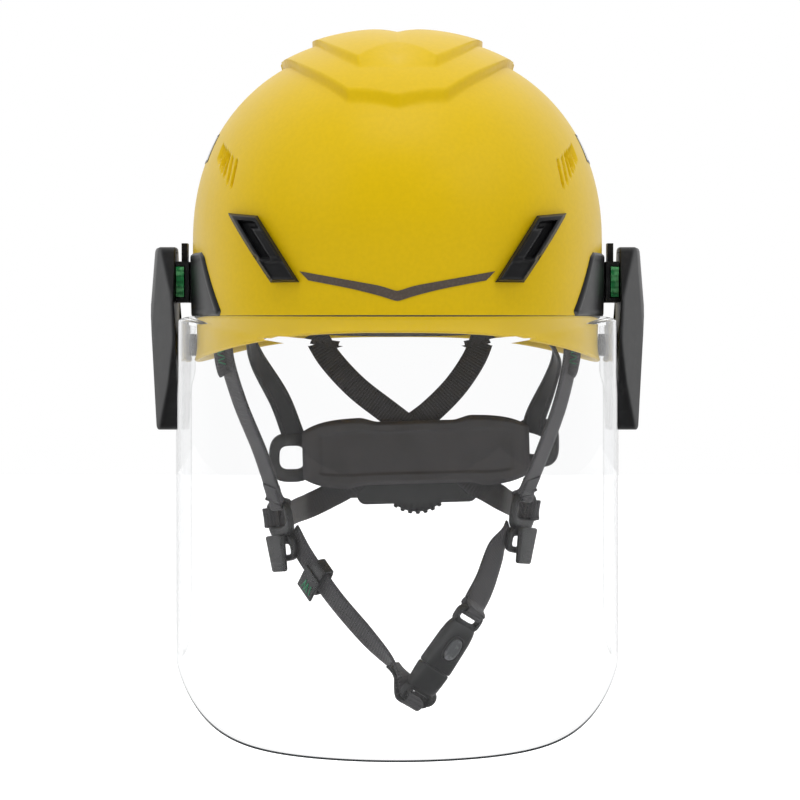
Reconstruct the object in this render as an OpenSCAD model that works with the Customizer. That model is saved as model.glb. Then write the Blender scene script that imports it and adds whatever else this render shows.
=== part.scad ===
// Climbing-style hard hat with a clear swing-up face shield.
// +Z up, front faces -Y, origin at the centre of the head seat at brim level.

/* [Shell] */
// Half width of the shell at its widest
shell_half_w = 111; // [109:0.5:112]
// Length from the centre plane to the front of the shell
shell_front = 139; // [136:1:141]
// Length from the centre plane to the back of the shell
shell_back = 143; // [139:1:147]
// Height at which the side wall turns into the dome
dome_base = 55; // [52:1:58]
// Height of the dome above the side wall
dome_rise = 109; // [106:1:111]
// Wall thickness of the shell
shell_t = 2.6; // [2.2:0.1:3]
// Height of the lower chevron tier on the crown
tier_one = 4.2; // [3:0.1:5]
// Height of the upper chevron tier on the crown
tier_two = 3.2; // [2:0.1:4]

/* [Face shield] */
// Half width of the lens, outside face
lens_half_w = 118; // [117.5:0.1:118.5]
// Thickness of the lens
lens_t = 2.2; // [2:0.1:2.4]
// Distance from the centre plane to the front of the lens
lens_front = 166; // [163:1:172]
// Height of the front bottom edge of the lens
lens_bottom = -209; // [-225:1:-195]
// Height of the swing axis above the head seat
pivot_z = 34; // [33:0.5:35]
// Radius of the swing pin
pivot_r = 4; // [3:0.5:4.5]

/* [Harness] */
// Width of the webbing
web_w = 15; // [12:1:18]
// Thickness of the webbing
web_t = 1.6; // [1.2:0.1:2]
// Sideways set of the nape cradle as it hangs
nape_dx = 9; // [0:1:9]
// Radius of the ratchet knob
knob_r = 22.5; // [20:0.5:24]

/* [Hidden] */
np = 2.15;   // plan exponent of the shell
ne = 2.2;    // elevation exponent of the dome
fit = 0.05;  // running clearance of pins
$fn = 48;

// ---------- general maths ----------
function sp(v, p) = (v < 0 ? -1 : 1) * pow(abs(v), p);
function clamp01(t) = t < 0 ? 0 : (t > 1 ? 1 : t);
function sstep(a, b, v) = let (t = clamp01((v - a) / (b - a))) t * t * (3 - 2 * t);
function unit(v) = v / norm(v);
function flat(g) = [for (r = g) for (p = r) p];
function mx(p) = [-p[0], p[1], p[2]];
function cr(a, b, c, d, t) = 0.5 * ((2 * b) + (c - a) * t + (2 * a - 5 * b + 4 * c - d) * t * t + (3 * b - a - 3 * c + d) * t * t * t);
function curve(p, n) = let (m = len(p)) concat([for (i = [0:m - 2]) for (k = [0:n - 1])
  cr(i == 0 ? 2 * p[0] - p[1] : p[i - 1], p[i], p[i + 1], i + 2 >= m ? 2 * p[m - 1] - p[m - 2] : p[i + 2], k / n)], [p[m - 1]]);

// closed solid between two point grids of the same size, A outside
module slab(A, B, wrap = false) {
  nj = len(A);
  ni = len(A[0]);
  o = nj * ni;
  e = wrap ? ni - 1 : ni - 2;
  fa = [for (j = [0:nj - 2]) for (i = [0:e]) let (a = j * ni + i, b = j * ni + (i + 1) % ni, c = b + ni, d = a + ni) each [[a, b, c], [a, c, d]]];
  fb = [for (j = [0:nj - 2]) for (i = [0:e]) let (a = o + j * ni + i, b = o + j * ni + (i + 1) % ni, c = b + ni, d = a + ni) each [[a, c, b], [a, d, c]]];
  f0 = [for (i = [0:e]) let (a = i, b = (i + 1) % ni) each [[a, o + a, o + b], [a, o + b, b]]];
  t = (nj - 1) * ni;
  f1 = [for (i = [0:e]) let (a = t + i, b = t + (i + 1) % ni) each [[a, b, o + b], [a, o + b, o + a]]];
  f2 = wrap ? [] : [for (j = [0:nj - 2]) let (a = j * ni, d = a + ni) each [[a, d, o + d], [a, o + d, o + a]]];
  f3 = wrap ? [] : [for (j = [0:nj - 2]) let (a = j * ni + ni - 1, d = a + ni) each [[a, o + a, o + d], [a, o + d, d]]];
  polyhedron(points = concat(flat(A), flat(B)), faces = concat(fa, fb, f0, f1, f2, f3), convexity = 8);
}

// flat webbing along centre points p, with width directions d
module ribbon(p, d, w, t) {
  m = len(p);
  tg = [for (i = [0:m - 1]) unit(p[min(i + 1, m - 1)] - p[max(i - 1, 0)])];
  dd = [for (i = [0:m - 1]) unit(d[i] - tg[i] * (d[i] * tg[i]))];
  nn = [for (i = [0:m - 1]) cross(tg[i], dd[i])];
  slab([for (i = [0:m - 1]) [p[i] - dd[i] * w / 2 + nn[i] * t / 2, p[i] + dd[i] * w / 2 + nn[i] * t / 2]],
       [for (i = [0:m - 1]) [p[i] - dd[i] * w / 2 - nn[i] * t / 2, p[i] + dd[i] * w / 2 - nn[i] * t / 2]]);
}
module web(P, D, w = web_w, t = web_t, n = 4) ribbon(curve(P, n), curve(D, n), w, t);

// ---------- shell surface ----------
function rim_z(a) = 6.8 - 15 * pow(abs(cos(a)), 2.6) - (sin(a) > 0 ? 1.5 * sin(a) : 0);
function len_y(s) = s < 0 ? shell_front : shell_back;
// front step lines of the two crown tiers, as y for a given x
function tier_f1(x) = let (t = max(0, abs(x) - 25)) -115 + 0.27 * min(25, abs(x)) + 1.2 * t + 0.0125 * t * t + 47 * pow(t / 37, 6);
function tier_b1(x) = 2 - tier_f1(x);
function tier_f2(x) = let (t = max(0, abs(x) - 19)) -94 + 0.2 * min(19, abs(x)) + 1.2 * t + 0.03 * t * t + 39 * pow(t / 25.4, 6);
function tier_b2(x) = 4 - tier_f2(x);
// the upper tier rises as a ramp, longest in the middle
function tier_w(x) = 8 + 22 * max(0, 1 - abs(x) / 19);
function crown(x, y) =
  tier_one * sstep(-4, 6, y - tier_f1(x)) * sstep(-4, 6, tier_b1(x) - y)
  + tier_two * clamp01((y - tier_f2(x)) / tier_w(x)) * clamp01((tier_b2(x) - y) / tier_w(x))
  - 2 * exp(-pow(x / 8, 2)) * sstep(-2, 16, y - tier_f2(x)) * sstep(-2, 16, tier_b2(x) - y);
function wall_pt(a, z, off) = let (k = 1 - 0.01 * pow((dome_base - z) / dome_base, 2) + 0.018 * exp(-(z - rim_z(a)) / 4), s = sin(a))
  [(shell_half_w + off) * k * sp(cos(a), 2 / np), (len_y(s) + off) * k * sp(s, 2 / np), z];
function dome_pt(a, t, off, cr1) = let (c = pow(cos(t), 2 / ne), s = sin(a), L = len_y(s),
    x = (shell_half_w + off) * c * sp(cos(a), 2 / np), y = (L + off) * c * sp(s, 2 / np),
    h = (dome_rise + off) * pow(sin(t), 2 / ne),
    n = unit([x / pow(shell_half_w, 2), y / pow(L, 2), h / pow(dome_rise, 2)]), d = cr1 ? crown(x, y) : 0)
  [x + n[0] * d, y + n[1] * d, dome_base + h + n[2] * d];
// half-axis factor of the shell at height z
function lev(z) = z <= dome_base ? 1 - 0.01 * pow((dome_base - z) / dome_base, 2)
  : let (s = pow((z - dome_base) / dome_rise, ne / 2)) pow(max(0.0001, 1 - s * s), 1 / ne);
// front y and side x of the shell skin
function fy(x, z, off) = -(shell_front * lev(z) + off) * pow(max(0.001, 1 - pow(abs(x) / (shell_half_w * lev(z) + off), np)), 1 / np);
function sx(y, z, off) = (shell_half_w * lev(z) + off) * pow(1 - pow(abs(y) / (len_y(y) * lev(z) + off), np), 1 / np);

module shell() color([0.86, 0.69, 0.08]) {
  na = 80;
  nw = 6;
  td = [6, 13, 20, 27, 34, 40, 45, 50, 55, 60, 65, 70, 75, 80, 84, 87];
  O = concat([for (j = [0:nw]) [for (i = [0:na - 1]) let (a = i * 360 / na, r = rim_z(a)) wall_pt(a, r + (dome_base - r) * j / nw, 0)]],
             [for (t = td) [for (i = [0:na - 1]) dome_pt(i * 360 / na, t, 0, true)]]);
  I = concat([for (j = [0:nw]) [for (i = [0:na - 1]) let (a = i * 360 / na, r = rim_z(a)) wall_pt(a, r + (dome_base - r) * j / nw, -shell_t)]],
             [for (t = td) [for (i = [0:na - 1]) dome_pt(i * 360 / na, t, -shell_t, false)]]);
  nj = len(O);
  o = nj * na;
  last = (nj - 1) * na;
  po = 2 * o;
  pi = 2 * o + 1;
  fa = [for (j = [0:nj - 2]) for (i = [0:na - 1]) let (a = j * na + i, b = j * na + (i + 1) % na, c = b + na, d = a + na) each [[a, c, b], [a, d, c]]];
  fb = [for (j = [0:nj - 2]) for (i = [0:na - 1]) let (a = o + j * na + i, b = o + j * na + (i + 1) % na, c = b + na, d = a + na) each [[a, b, c], [a, c, d]]];
  f0 = [for (i = [0:na - 1]) let (a = i, b = (i + 1) % na) each [[a, o + b, o + a], [a, b, o + b]]];
  ft = [for (i = [0:na - 1]) let (a = last + i, b = last + (i + 1) % na) each [[a, po, b], [o + a, o + b, pi]]];
  polyhedron(points = concat(flat(O), flat(I), [[0, 0, dome_base + dome_rise + tier_one + tier_two - 2]], [[0, 0, dome_base + dome_rise - shell_t]]),
    faces = concat(fa, fb, f0, ft), convexity = 10);
}

// patch of the front skin: X(u,v), Z(u,v) given as rows of [x,z]
module front_patch(g, lo, hi, bev = 0) {
  nj = len(g); ni = len(g[0]);
  slab([for (j = [0:nj - 1]) [for (i = [0:ni - 1]) let (p = g[j][i], h = (i == 0 || j == 0 || i == ni - 1 || j == nj - 1) ? hi - bev : hi) [p[0], fy(p[0], p[1], h), p[1]]]],
       [for (r = g) [for (p = r) [p[0], fy(p[0], p[1], lo), p[1]]]]);
}
function strip_z(x) = 28.4 + 9 * abs(x) / 50;
module front_reflective_strip() color([0.36, 0.31, 0.28])
  front_patch([for (k = [0:3]) [for (i = [0:24]) let (x = -50 + i * 100 / 24) [x * (1 - 0.09 * k / 3), strip_z(x) - 5.6 * k / 3]]], 0.1, 0.4);

module side_patch(sd, y0, y1, z0, z1, lo, hi, lean, ni, nj, bev = 0) {
  G = [for (j = [0:nj]) [for (i = [0:ni]) let (z = z0 + (z1 - z0) * j / nj, y = y0 + (y1 - y0) * i / ni + lean * (z - z0)) [y, z]]];
  A = [for (j = [0:nj]) [for (i = [0:ni]) let (p = G[j][i], h = (i == 0 || j == 0 || i == ni || j == nj) ? hi - bev : hi) [sd * sx(p[0], p[1], h), p[0], p[1]]]];
  B = [for (r = G) [for (p = r) [sd * sx(p[0], p[1], lo), p[0], p[1]]]];
  if (sd > 0) slab(A, B); else slab(B, A);
}
module side_marker_left() color([0.93, 0.93, 0.91]) side_patch(-1, -34, 34, 98, 113, 0.08, 0.38, 0.25, 16, 5);
module side_marker_right() color([0.93, 0.93, 0.91]) side_patch(1, -34, 34, 98, 113, 0.08, 0.38, 0.25, 16, 5);

// lamp clip: a sloping plate with a raised outer frame
function clip_g(u0, u1, v0, v1, nu, nv) = [for (j = [0:nu]) let (u = u0 + (u1 - u0) * j / nu) [for (i = [0:nv]) let (v = v0 + (v1 - v0) * i / nv)
  let (xl = -88 + 23 * pow(u, 1.1), xr = -72 + 22 * u, zl = 68.5 - 36.5 * u, zr = 66.5 - 34.5 * u) [xl + (xr - xl) * v, zl + (zr - zl) * v]]];
module lamp_left() {
  front_patch(clip_g(0, 1, 0, 1, 14, 6), 0.1, 1.6);
  front_patch(clip_g(0, 1, 0, 0.27, 8, 2), 1.5, 4.6, 1.2);
  front_patch(clip_g(0, 1, 0.73, 1, 8, 2), 1.5, 4.6, 1.2);
  front_patch(clip_g(0, 0.16, 0.2, 0.8, 2, 3), 1.5, 4.6, 0.8);
  front_patch(clip_g(0.3, 0.93, 0.36, 0.64, 6, 2), 1.5, 3.2, 0.5);
}
module lamp_clip_front_left() color([0.11, 0.11, 0.12]) lamp_left();
module lamp_clip_front_right() color([0.11, 0.11, 0.12]) mirror([1, 0, 0]) lamp_left();
function skin(a, z, off) = [(shell_half_w * lev(z) + off) * sp(cos(a), 2 / np), (len_y(sin(a)) * lev(z) + off) * sp(sin(a), 2 / np), z];
function ring(i, j, n, m) = min(min(i, n - i), min(j, m - j));
module lamp_rear() let (H = [1.6, 2.6, 2.6, 5.2, 5.2, 4.4, 4.4])
  slab([for (j = [0:12]) [for (i = [0:12]) skin(44 + i, 34 + 28 * j / 12, H[ring(i, j, 12, 12)])]],
       [for (j = [0:12]) [for (i = [0:12]) skin(44 + i, 34 + 28 * j / 12, 0.08)]]);
module lamp_clip_rear_left() color([0.11, 0.11, 0.12]) mirror([1, 0, 0]) lamp_rear();
module lamp_clip_rear_right() color([0.11, 0.11, 0.12]) lamp_rear();

// ---------- slot adapters and pivots ----------
module adapter(sd) {
  ni = 24;
  nj = 8;
  G = [for (j = [0:nj]) let (z = 15 + 34 * j / nj, ya = -84 + 0.73 * (z - 15)) [for (i = [0:ni]) [ya + (15 - ya) * i / ni, z]]];
  A = [for (j = [0:nj]) [for (i = [0:ni]) let (p = G[j][i], h = (i == 0 || j == 0 || i == ni || j == nj) ? 1.1 : 1.5) [sd * sx(p[0], p[1], h), p[0], p[1]]]];
  B = [for (r = G) [for (p = r) [sd * sx(p[0], p[1], 0.1), p[0], p[1]]]];
  if (sd > 0) slab(A, B); else slab(B, A);
}
module slot_adapter_left() color([0.13, 0.13, 0.14]) adapter(-1);
module slot_adapter_right() color([0.13, 0.13, 0.14]) adapter(1);

// solid drawn for the right side, x outwards
module xcyl(x0, x1, r) translate([x0, 0, 0]) rotate([0, 90, 0]) cylinder(r = r, h = x1 - x0);
module block_r() {
  difference() {
    union() {
      translate([112.6, -20, pivot_z - 11]) cube([7, 32.5, 22]);
      translate([114, -7, pivot_z + 9]) cube([3.2, 14, 12.2]);
    }
    translate([0, 0, pivot_z]) xcyl(110, 121, pivot_r);
    // pocket of the release tab
    translate([114.6, -22, pivot_z - 8.6]) cube([5.2, 10.6, 17.2]);
  }
}
module pivot_block_right() color([0.1, 0.1, 0.11]) block_r();
module pivot_block_left() color([0.1, 0.1, 0.11]) mirror([1, 0, 0]) block_r();
module pin_r() translate([0, 0, pivot_z]) { xcyl(112.8, 126.3, pivot_r); xcyl(126.25, 128.6, 7.5); }
module pivot_pins() color([0.55, 0.56, 0.58]) { pin_r(); mirror([1, 0, 0]) pin_r(); }
module tab_r() difference() {
  translate([115.1, -21.5, pivot_z - 8.1]) cube([4.2, 7.5, 16.2]);
  for (k = [-2:2]) translate([114, -21.9, pivot_z + k * 3 - 0.5]) cube([6, 0.9, 1]);
}
module release_tab_right() color([0.08, 0.5, 0.22]) tab_r();
module release_tab_left() color([0.08, 0.5, 0.22]) mirror([1, 0, 0]) tab_r();

// ---------- face shield ----------
function lp(s) = // plan of the lens: s from -1 (left rear) to 1 (right rear), returns [x, y, nx, ny]
  let (m = abs(s), sg = s < 0 ? -1 : 1, y1 = -34)
  m > 0.72 ? let (k = (m - 0.72) / 0.28) [sg * lens_half_w, y1 + (16 - y1) * k, sg, 0]
  : let (a = 90 * m / 0.72, ex = 2 / 2.35, x = lens_half_w * pow(sin(a), ex), y = -(lens_front + y1) * pow(cos(a), ex) + y1,
      nx = pow(sin(a), 2 - ex) / lens_half_w, ny = -pow(cos(a), 2 - ex) / (lens_front + y1), q = sqrt(nx * nx + ny * ny))
    [sg * x, y, sg * nx / q, ny / q];
function lens_zb(x, y) = let (k = abs(x) / lens_half_w) y > -34 ? lens_bottom + 43 + 8 * pow((y + 34) / 50, 2) : lens_bottom + 9 * pow(k, 1.9) + 34 * pow(k, 7);
function lens_zt(y) = 10.5 + 4.5 * sstep(-20, -110, y) ;
// lens point: k 0..1 up the wall, then over the turned-in top flange
function prow(s, k, off) =
  let (q = lp(s), w = -q[3], zt = lens_zt(q[1]), zk = zt - 16 * w * w, zb = lens_zb(q[0], q[1]),
       z = k < 0.8 ? zb + (zk - 1 - zb) * k / 0.79 : zk + (zt - zk) * (k - 0.8) / 0.2,
       // the side sheets step inward above the arms
       jg = 2.5 * sstep(-24, -14, z) * sstep(0.6, 0.72, abs(s)),
       ins = k < 0.8 ? 0 : 12.5 * w * w * (k - 0.8) / 0.2, o = off + ins + jg)
    [q[0] - q[2] * o, q[1] - q[3] * o, z];
module visor_lens() color([0.85, 0.9, 0.92, 0.35]) {
  ns = 26;
  S = [for (i = [-ns:ns]) i / ns];
  K = [0, 0.1, 0.2, 0.32, 0.45, 0.58, 0.64, 0.662, 0.684, 0.72, 0.79, 0.86, 0.93, 1];
  difference() {
    slab([for (k = K) [for (s = S) prow(s, k, 0)]], [for (k = K) [for (s = S) prow(s, k, lens_t)]]);
    for (sd = [-1, 1]) for (y = [-8, 8]) translate([sd * 115, y, 0]) rotate([0, 90, 0]) cylinder(r = 2.6, h = 8, center = true);
  }
}
// arm plate: flat inner plate that turns on the pin
module arm_out(g) rotate([90, 0, 90]) linear_extrude(g) polygon([[-13, 50], [11, 50], [22, 30], [23, 5], [18, -18], [9, -43], [-10, -43], [-15, -20], [-16, 2], [-15, 26]]);
module arm_r() difference() {
  translate([120, 0, 0]) arm_out(5);
  translate([0, 0, pivot_z]) xcyl(119, 126.1, pivot_r + fit);
  for (y = [-8, 8]) translate([0, y, 0]) xcyl(119, 126.1, 2.6);
}
module arm_plate_right() color([0.12, 0.12, 0.13]) arm_r();
module arm_plate_left() color([0.12, 0.12, 0.13]) mirror([1, 0, 0]) arm_r();
module cover_r() difference() {
  translate([118.4, 0, 0]) rotate([90, 0, 90]) linear_extrude(16.2) polygon([[-15, 53], [13, 53], [26, 31], [27, 5], [22, -19], [11, -46], [-13, -46], [-26, -21], [-33, 2], [-30, 27]]);
  // outer faces slope down to both ends and to the front edge
  rotate([90, 0, 0]) translate([0, 0, -60]) linear_extrude(120) polygon([[131.92, 61], [134.6, 19], [130.9, -48], [140, -48], [140, 61]]);
  translate([0, 0, -60]) linear_extrude(130) polygon([[134.6, 0], [118.32, -37], [140, -37], [140, 0]]);
  // the lower end reaches further in than the end round the pin
  translate([118, -40, 9.5]) cube([2.1, 80, 60]);
  // recess of the arm plate
  translate([118, 0, 0]) rotate([90, 0, 90]) linear_extrude(7.1) polygon([[-13.4, 50.4], [11.4, 50.4], [22.5, 30.1], [23.4, 5], [18.4, -18.2], [9.3, -43.4], [-10.3, -43.4], [-15.4, -20.1], [-16.4, 2], [-15.4, 26.2]]);
  // hollow for the pin head and the screw heads
  translate([0, 0, pivot_z]) xcyl(124, 129.6, 9.5);
  for (y = [-8, 8]) translate([0, y, 0]) xcyl(124, 128.4, 5);
}
module arm_cover_right() color([0.14, 0.14, 0.15]) cover_r();
module arm_cover_left() color([0.14, 0.14, 0.15]) mirror([1, 0, 0]) cover_r();
module both() { children(); mirror([1, 0, 0]) children(); }
module lens_screws() color([0.6, 0.61, 0.63]) both() for (y = [-8, 8]) translate([0, y, 0]) { xcyl(111.5, 125.1, 2); xcyl(125.02, 127.4, 4); }
module lens_spacers() color([0.13, 0.13, 0.14]) both() for (y = [-8, 8]) translate([0, y, 0]) difference() { xcyl(115.6, 120, 6.4); xcyl(115, 121, 2.2); }
module lens_nuts() color([0.16, 0.16, 0.17]) both() for (y = [-8, 8]) translate([0, y, 0]) difference() {
  union() {
    xcyl(112, 113.2, 6);
    xcyl(111.4, 112.05, 3.4);
  }
  xcyl(111, 114, 2);
  for (k = [0:11]) rotate([k * 30, 0, 0]) translate([0, 0, 6.2]) xcyl(111, 114, 0.6);
}

// ---------- inner harness ----------
module strap_anchors() color([0.12, 0.12, 0.13]) {
  for (q = [[-1, -62], [1, -62], [-1, 58], [1, 58]]) let (xo = sx(q[1], 24, -shell_t)) difference() {
    translate([q[0] > 0 ? xo - 16.5 : -xo + 4.5, q[1] - 10, 16]) cube([12, 20, 22]);
    translate([q[0] > 0 ? xo - 12.9 : -xo + 8.1, q[1] - 11, 20]) cube([4.8, 22, 14]);
  }
  for (x = [-48, 50]) difference() {
    translate([x - 11, 106, 9]) cube([22, 12, 20]);
    translate([x - 12, 109.6, 13]) cube([24, 4.8, 12]);
  }
}
// short straps that carry the headband from the anchors
module headband_hangers() color([0.15, 0.15, 0.16]) both() {
  translate([64.2, -63.2, 20]) cube([17.2, 2.4, 12]);
  ribbon([[79.9, 31, 28], [82.2, 38, 28], [84.6, 46.8, 28]], [[0, 0, 1], [0, 0, 1], [0, 0, 1]], 9, 1.8);
}
module crown_strap(sg) {
  up = sg < 0 ? 3 : 0;
  P = [[-86.5, -60 * sg, 39.2], [-75, -54 * sg, 66], [-56, -43 * sg, 97], [-32, -25 * sg, 121 + 0.7 * up], [0, 0, 131 + up], [32, 25 * sg, 121 + 0.7 * up], [56, 43 * sg, 97], [75, 54 * sg, 66], [86.5, 60 * sg, 39.2]];
  D = [for (p = P) [-0.61 * sg, 0.79, 0]];
  web(P, D, 22, 1.4, 3);
}
module crown_strap_a() color([0.2, 0.2, 0.21]) crown_strap(1);
module crown_strap_b() color([0.2, 0.2, 0.21]) crown_strap(-1);
module crown_pad() color([0.17, 0.17, 0.18])
  slab([for (j = [0:5]) [for (i = [0:23]) let (r = 5 + 29 * j / 5, a = i * 15) [r * cos(a), r * sin(a), 129.6 - 0.0062 * r * r - (j == 5 ? 1.4 : 0)]]],
       [for (j = [0:5]) [for (i = [0:23]) let (r = 5 + 29 * j / 5, a = i * 15) [r * cos(a), r * sin(a), 125.4 - 0.0062 * r * r + (j == 5 ? 1 : 0)]]], true);
// headband: springy plastic band round the brow and sides
function band_pt(a, z, off) = [(78 + off) * sp(cos(a), 0.95), (a > 180 ? 99 + off : 99 + off) * sp(sin(a), 0.95) + 4, z];
module headband() color([0.15, 0.15, 0.16]) difference() {
  slab([for (k = [0:2]) [for (i = [0:44]) let (a = 166 + i * 208 / 44, f = pow(abs(sin(a)), 2) * (a > 180 && a < 360 ? 1 : 0)) band_pt(a, 8 - 4 * f + (26 + 6 * f) * k / 2, 2)]],
       [for (k = [0:2]) [for (i = [0:44]) let (a = 166 + i * 208 / 44, f = pow(abs(sin(a)), 2) * (a > 180 && a < 360 ? 1 : 0)) band_pt(a, 8 - 4 * f + (26 + 6 * f) * k / 2, 0)]]);
  for (s = [-1, 1]) translate([s * 79, 22, 18]) rotate([0, 90, 0]) cylinder(r = 3, h = 20, center = true);
}
module brow_pad() color([0.1, 0.1, 0.11])
  slab([for (k = [0:2]) [for (i = [0:30]) let (a = 202 + i * 136 / 30, e = min(i, 30 - i) == 0 ? 1 : 0) band_pt(a, 3.5 + 31 * k / 2, -0.2)]],
       [for (k = [0:2]) [for (i = [0:30]) let (a = 202 + i * 136 / 30, e = (min(i, 30 - i) == 0 || k != 1) ? 2.2 : 0) band_pt(a, 3.5 + 31 * k / 2, -6.5 + e)]]);
module headband_rivets() color([0.5, 0.5, 0.52]) both() translate([0, 22, 18]) { xcyl(75.2, 84.4, 3 - fit); xcyl(84.3, 85.8, 6); xcyl(73.8, 75.3, 6); }

// nape cradle: its own frame, shifted and tilted as it hangs
module nape_set() translate([nape_dx, 0, 0]) rotate([0, -1.6, 0]) children();
module narm(sd) {
  P = sd > 0 ? [[82.2, 22, 18], [83.1, 32, 8], [87.2, 43, 1], [90.2, 54, -8], [86.5, 66, -22], [79, 82, -41], [77.5, 87, -50]]
    : [[-82.2, 22, 18], [-83, 36, 6], [-79.5, 54, -8], [-67, 72, -31], [-59.5, 88, -52]];
  D = sd > 0 ? [[0, 0.8, 0.55], [0, 0.8, 0.55], [-0.1, 0.8, 0.55], [-0.25, 0.75, 0.5], [-0.4, 0.65, 0.5], [-0.75, 0.4, 0.4], [-0.9, 0.2, 0.35]]
    : [[0, 0.8, 0.55], [0.1, 0.8, 0.55], [0.4, 0.65, 0.5], [0.75, 0.4, 0.4], [0.9, 0.2, 0.35]];
  lx = sd > 0 ? 80 : -60.5;
  lz = sd > 0 ? -55.5 : -64;
  difference() {
    union() {
      web(P, D, 13, 2.4, 3);
      translate([0, 22, 18]) if (sd > 0) xcyl(81, 83.6, 8); else mirror([1, 0, 0]) xcyl(81, 83.6, 8);
      translate([lx, 87, lz]) rotate([0, 0, -sd * 24]) rotate([90, 0, 0]) translate([-14, -14, -1.6]) cube([28, 28, 3.2]);
    }
    translate([sd * 82, 22, 18]) rotate([0, 90, 0]) cylinder(r = 3, h = 12, center = true);
    translate([lx, 87, lz]) rotate([0, 0, -sd * 24]) rotate([90, 0, 0]) translate([-8, -6.5, -3]) cube([16, 13, 6]);
  }
}
module nape_arm_left() color([0.13, 0.13, 0.14]) narm(-1);
module nape_arm_right() color([0.13, 0.13, 0.14]) narm(1);
function pz(u) = 1 - pow(abs(u), 6) * 0.35;
module nape_pad() color([0.19, 0.19, 0.2]) nape_set() {
  slab([for (k = [0:4]) [for (i = [-12:12]) let (u = i / 12) [u * 65, 95 - 10 * u * u, -61 + (k - 2) * 10.2 * pz(u)]]],
       [for (k = [0:4]) [for (i = [-12:12]) let (u = i / 12) [u * 65, 90.5 - 10 * u * u + (k == 0 || k == 4 || abs(i) == 12 ? 2.4 : 0), -61 + (k - 2) * 10.2 * pz(u)]]]);
}
module rbox(x, y, z, r) translate([-x / 2, 0, -z / 2]) rotate([-90, 0, 0]) translate([0, -z, 0]) linear_extrude(y)
  union() { translate([r, 0]) square([x - 2 * r, z]); translate([0, r]) square([x, z - 2 * r]); for (a = [r, x - r]) for (b = [r, z - r]) translate([a, b]) circle(r); }
module ratchet_housing() color([0.1, 0.1, 0.11]) nape_set() translate([0, 99, -75]) difference() {
  rbox(69, 11, 31, 5);
  translate([-36, 2.4, 5]) cube([72, 9, 7]);
  translate([-36, 2.4, -12]) cube([72, 9, 7]);
  translate([0, 2.4, 0]) rotate([-90, 0, 0]) cylinder(r = 7.4, h = 9);
}
module ratchet_cover() color([0.12, 0.12, 0.13]) nape_set() translate([0, 110.05, -75]) difference() {
  rbox(69, 2.2, 31, 5);
  translate([0, -1, 0]) rotate([-90, 0, 0]) cylinder(r = 4.5 + fit, h = 6);
}
module rack(sd) nape_set() translate([0, 102, -75]) difference() {
  translate([sd > 0 ? -14 : -44, 0, sd > 0 ? 6.7 : -11.7]) cube([58, 6.4, 5]);
  for (k = [0:17]) translate([(sd > 0 ? -13.5 : -43.5) + k * 3.2, -1, sd > 0 ? 6.2 : -7.7]) cube([1.6, 9, 1.5]);
}
module rack_left() color([0.16, 0.16, 0.17]) rack(-1);
module rack_right() color([0.16, 0.16, 0.17]) rack(1);
module ratchet_pinion() color([0.7, 0.7, 0.66]) nape_set() translate([0, 102, -75]) rotate([-90, 0, 0]) {
  difference() {
    cylinder(r = 6.4, h = 6.4);
    for (k = [0:11]) rotate([0, 0, k * 30]) translate([6.4, 0, -1]) cylinder(r = 0.8, h = 9);
    translate([0, 0, -1]) cylinder(r = 1.4, h = 9);
  }
  translate([0, 0, 6.35]) difference() { cylinder(r = 4.5, h = 6); translate([0, 0, -1]) cylinder(r = 1.4, h = 8); }
}
module ratchet_knob() color([0.1, 0.1, 0.11]) nape_set() translate([0, 112.6, -75]) rotate([-90, 0, 0]) difference() {
  union() { cylinder(r = knob_r - 1.2, h = 3); translate([0, 0, 2.9]) cylinder(r = knob_r, h = 9.6); translate([0, 0, 12.45]) cylinder(r = knob_r - 3, h = 1.6); }
  for (k = [0:29]) rotate([0, 0, k * 12]) translate([knob_r + 0.5, 0, 2]) cylinder(r = 1.5, h = 12);
  translate([0, 0, -1]) cylinder(r = 4.5, h = 3.7);
  translate([0, 0, -1]) cylinder(r = 1.4, h = 20);
  translate([0, 0, 11]) cylinder(r = 4, h = 5);
}
module knob_screw() color([0.55, 0.56, 0.58]) nape_set() translate([0, 103, -75]) rotate([-90, 0, 0]) { cylinder(r = 1.4, h = 20.7); translate([0, 0, 20.65]) cylinder(r = 3, h = 2); }

// ---------- chin webbing ----------
module chin_strap_front_left() color([0.24, 0.23, 0.24]) web([[-88, -60, 13.6], [-91, -54, -4], [-84.5, -42, -30], [-74, -25, -58], [-66.5, -9, -83]], [for (i = [0:4]) [0.45, -0.85, 0.1]]);
module chin_strap_front_right() color([0.24, 0.23, 0.24]) web([[88, -60, 13.6], [92, -54, -4], [87.5, -42, -30], [79.2, -25, -56], [70.6, -9, -78.6]], [for (i = [0:4]) [-0.45, -0.85, 0.1]]);
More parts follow.
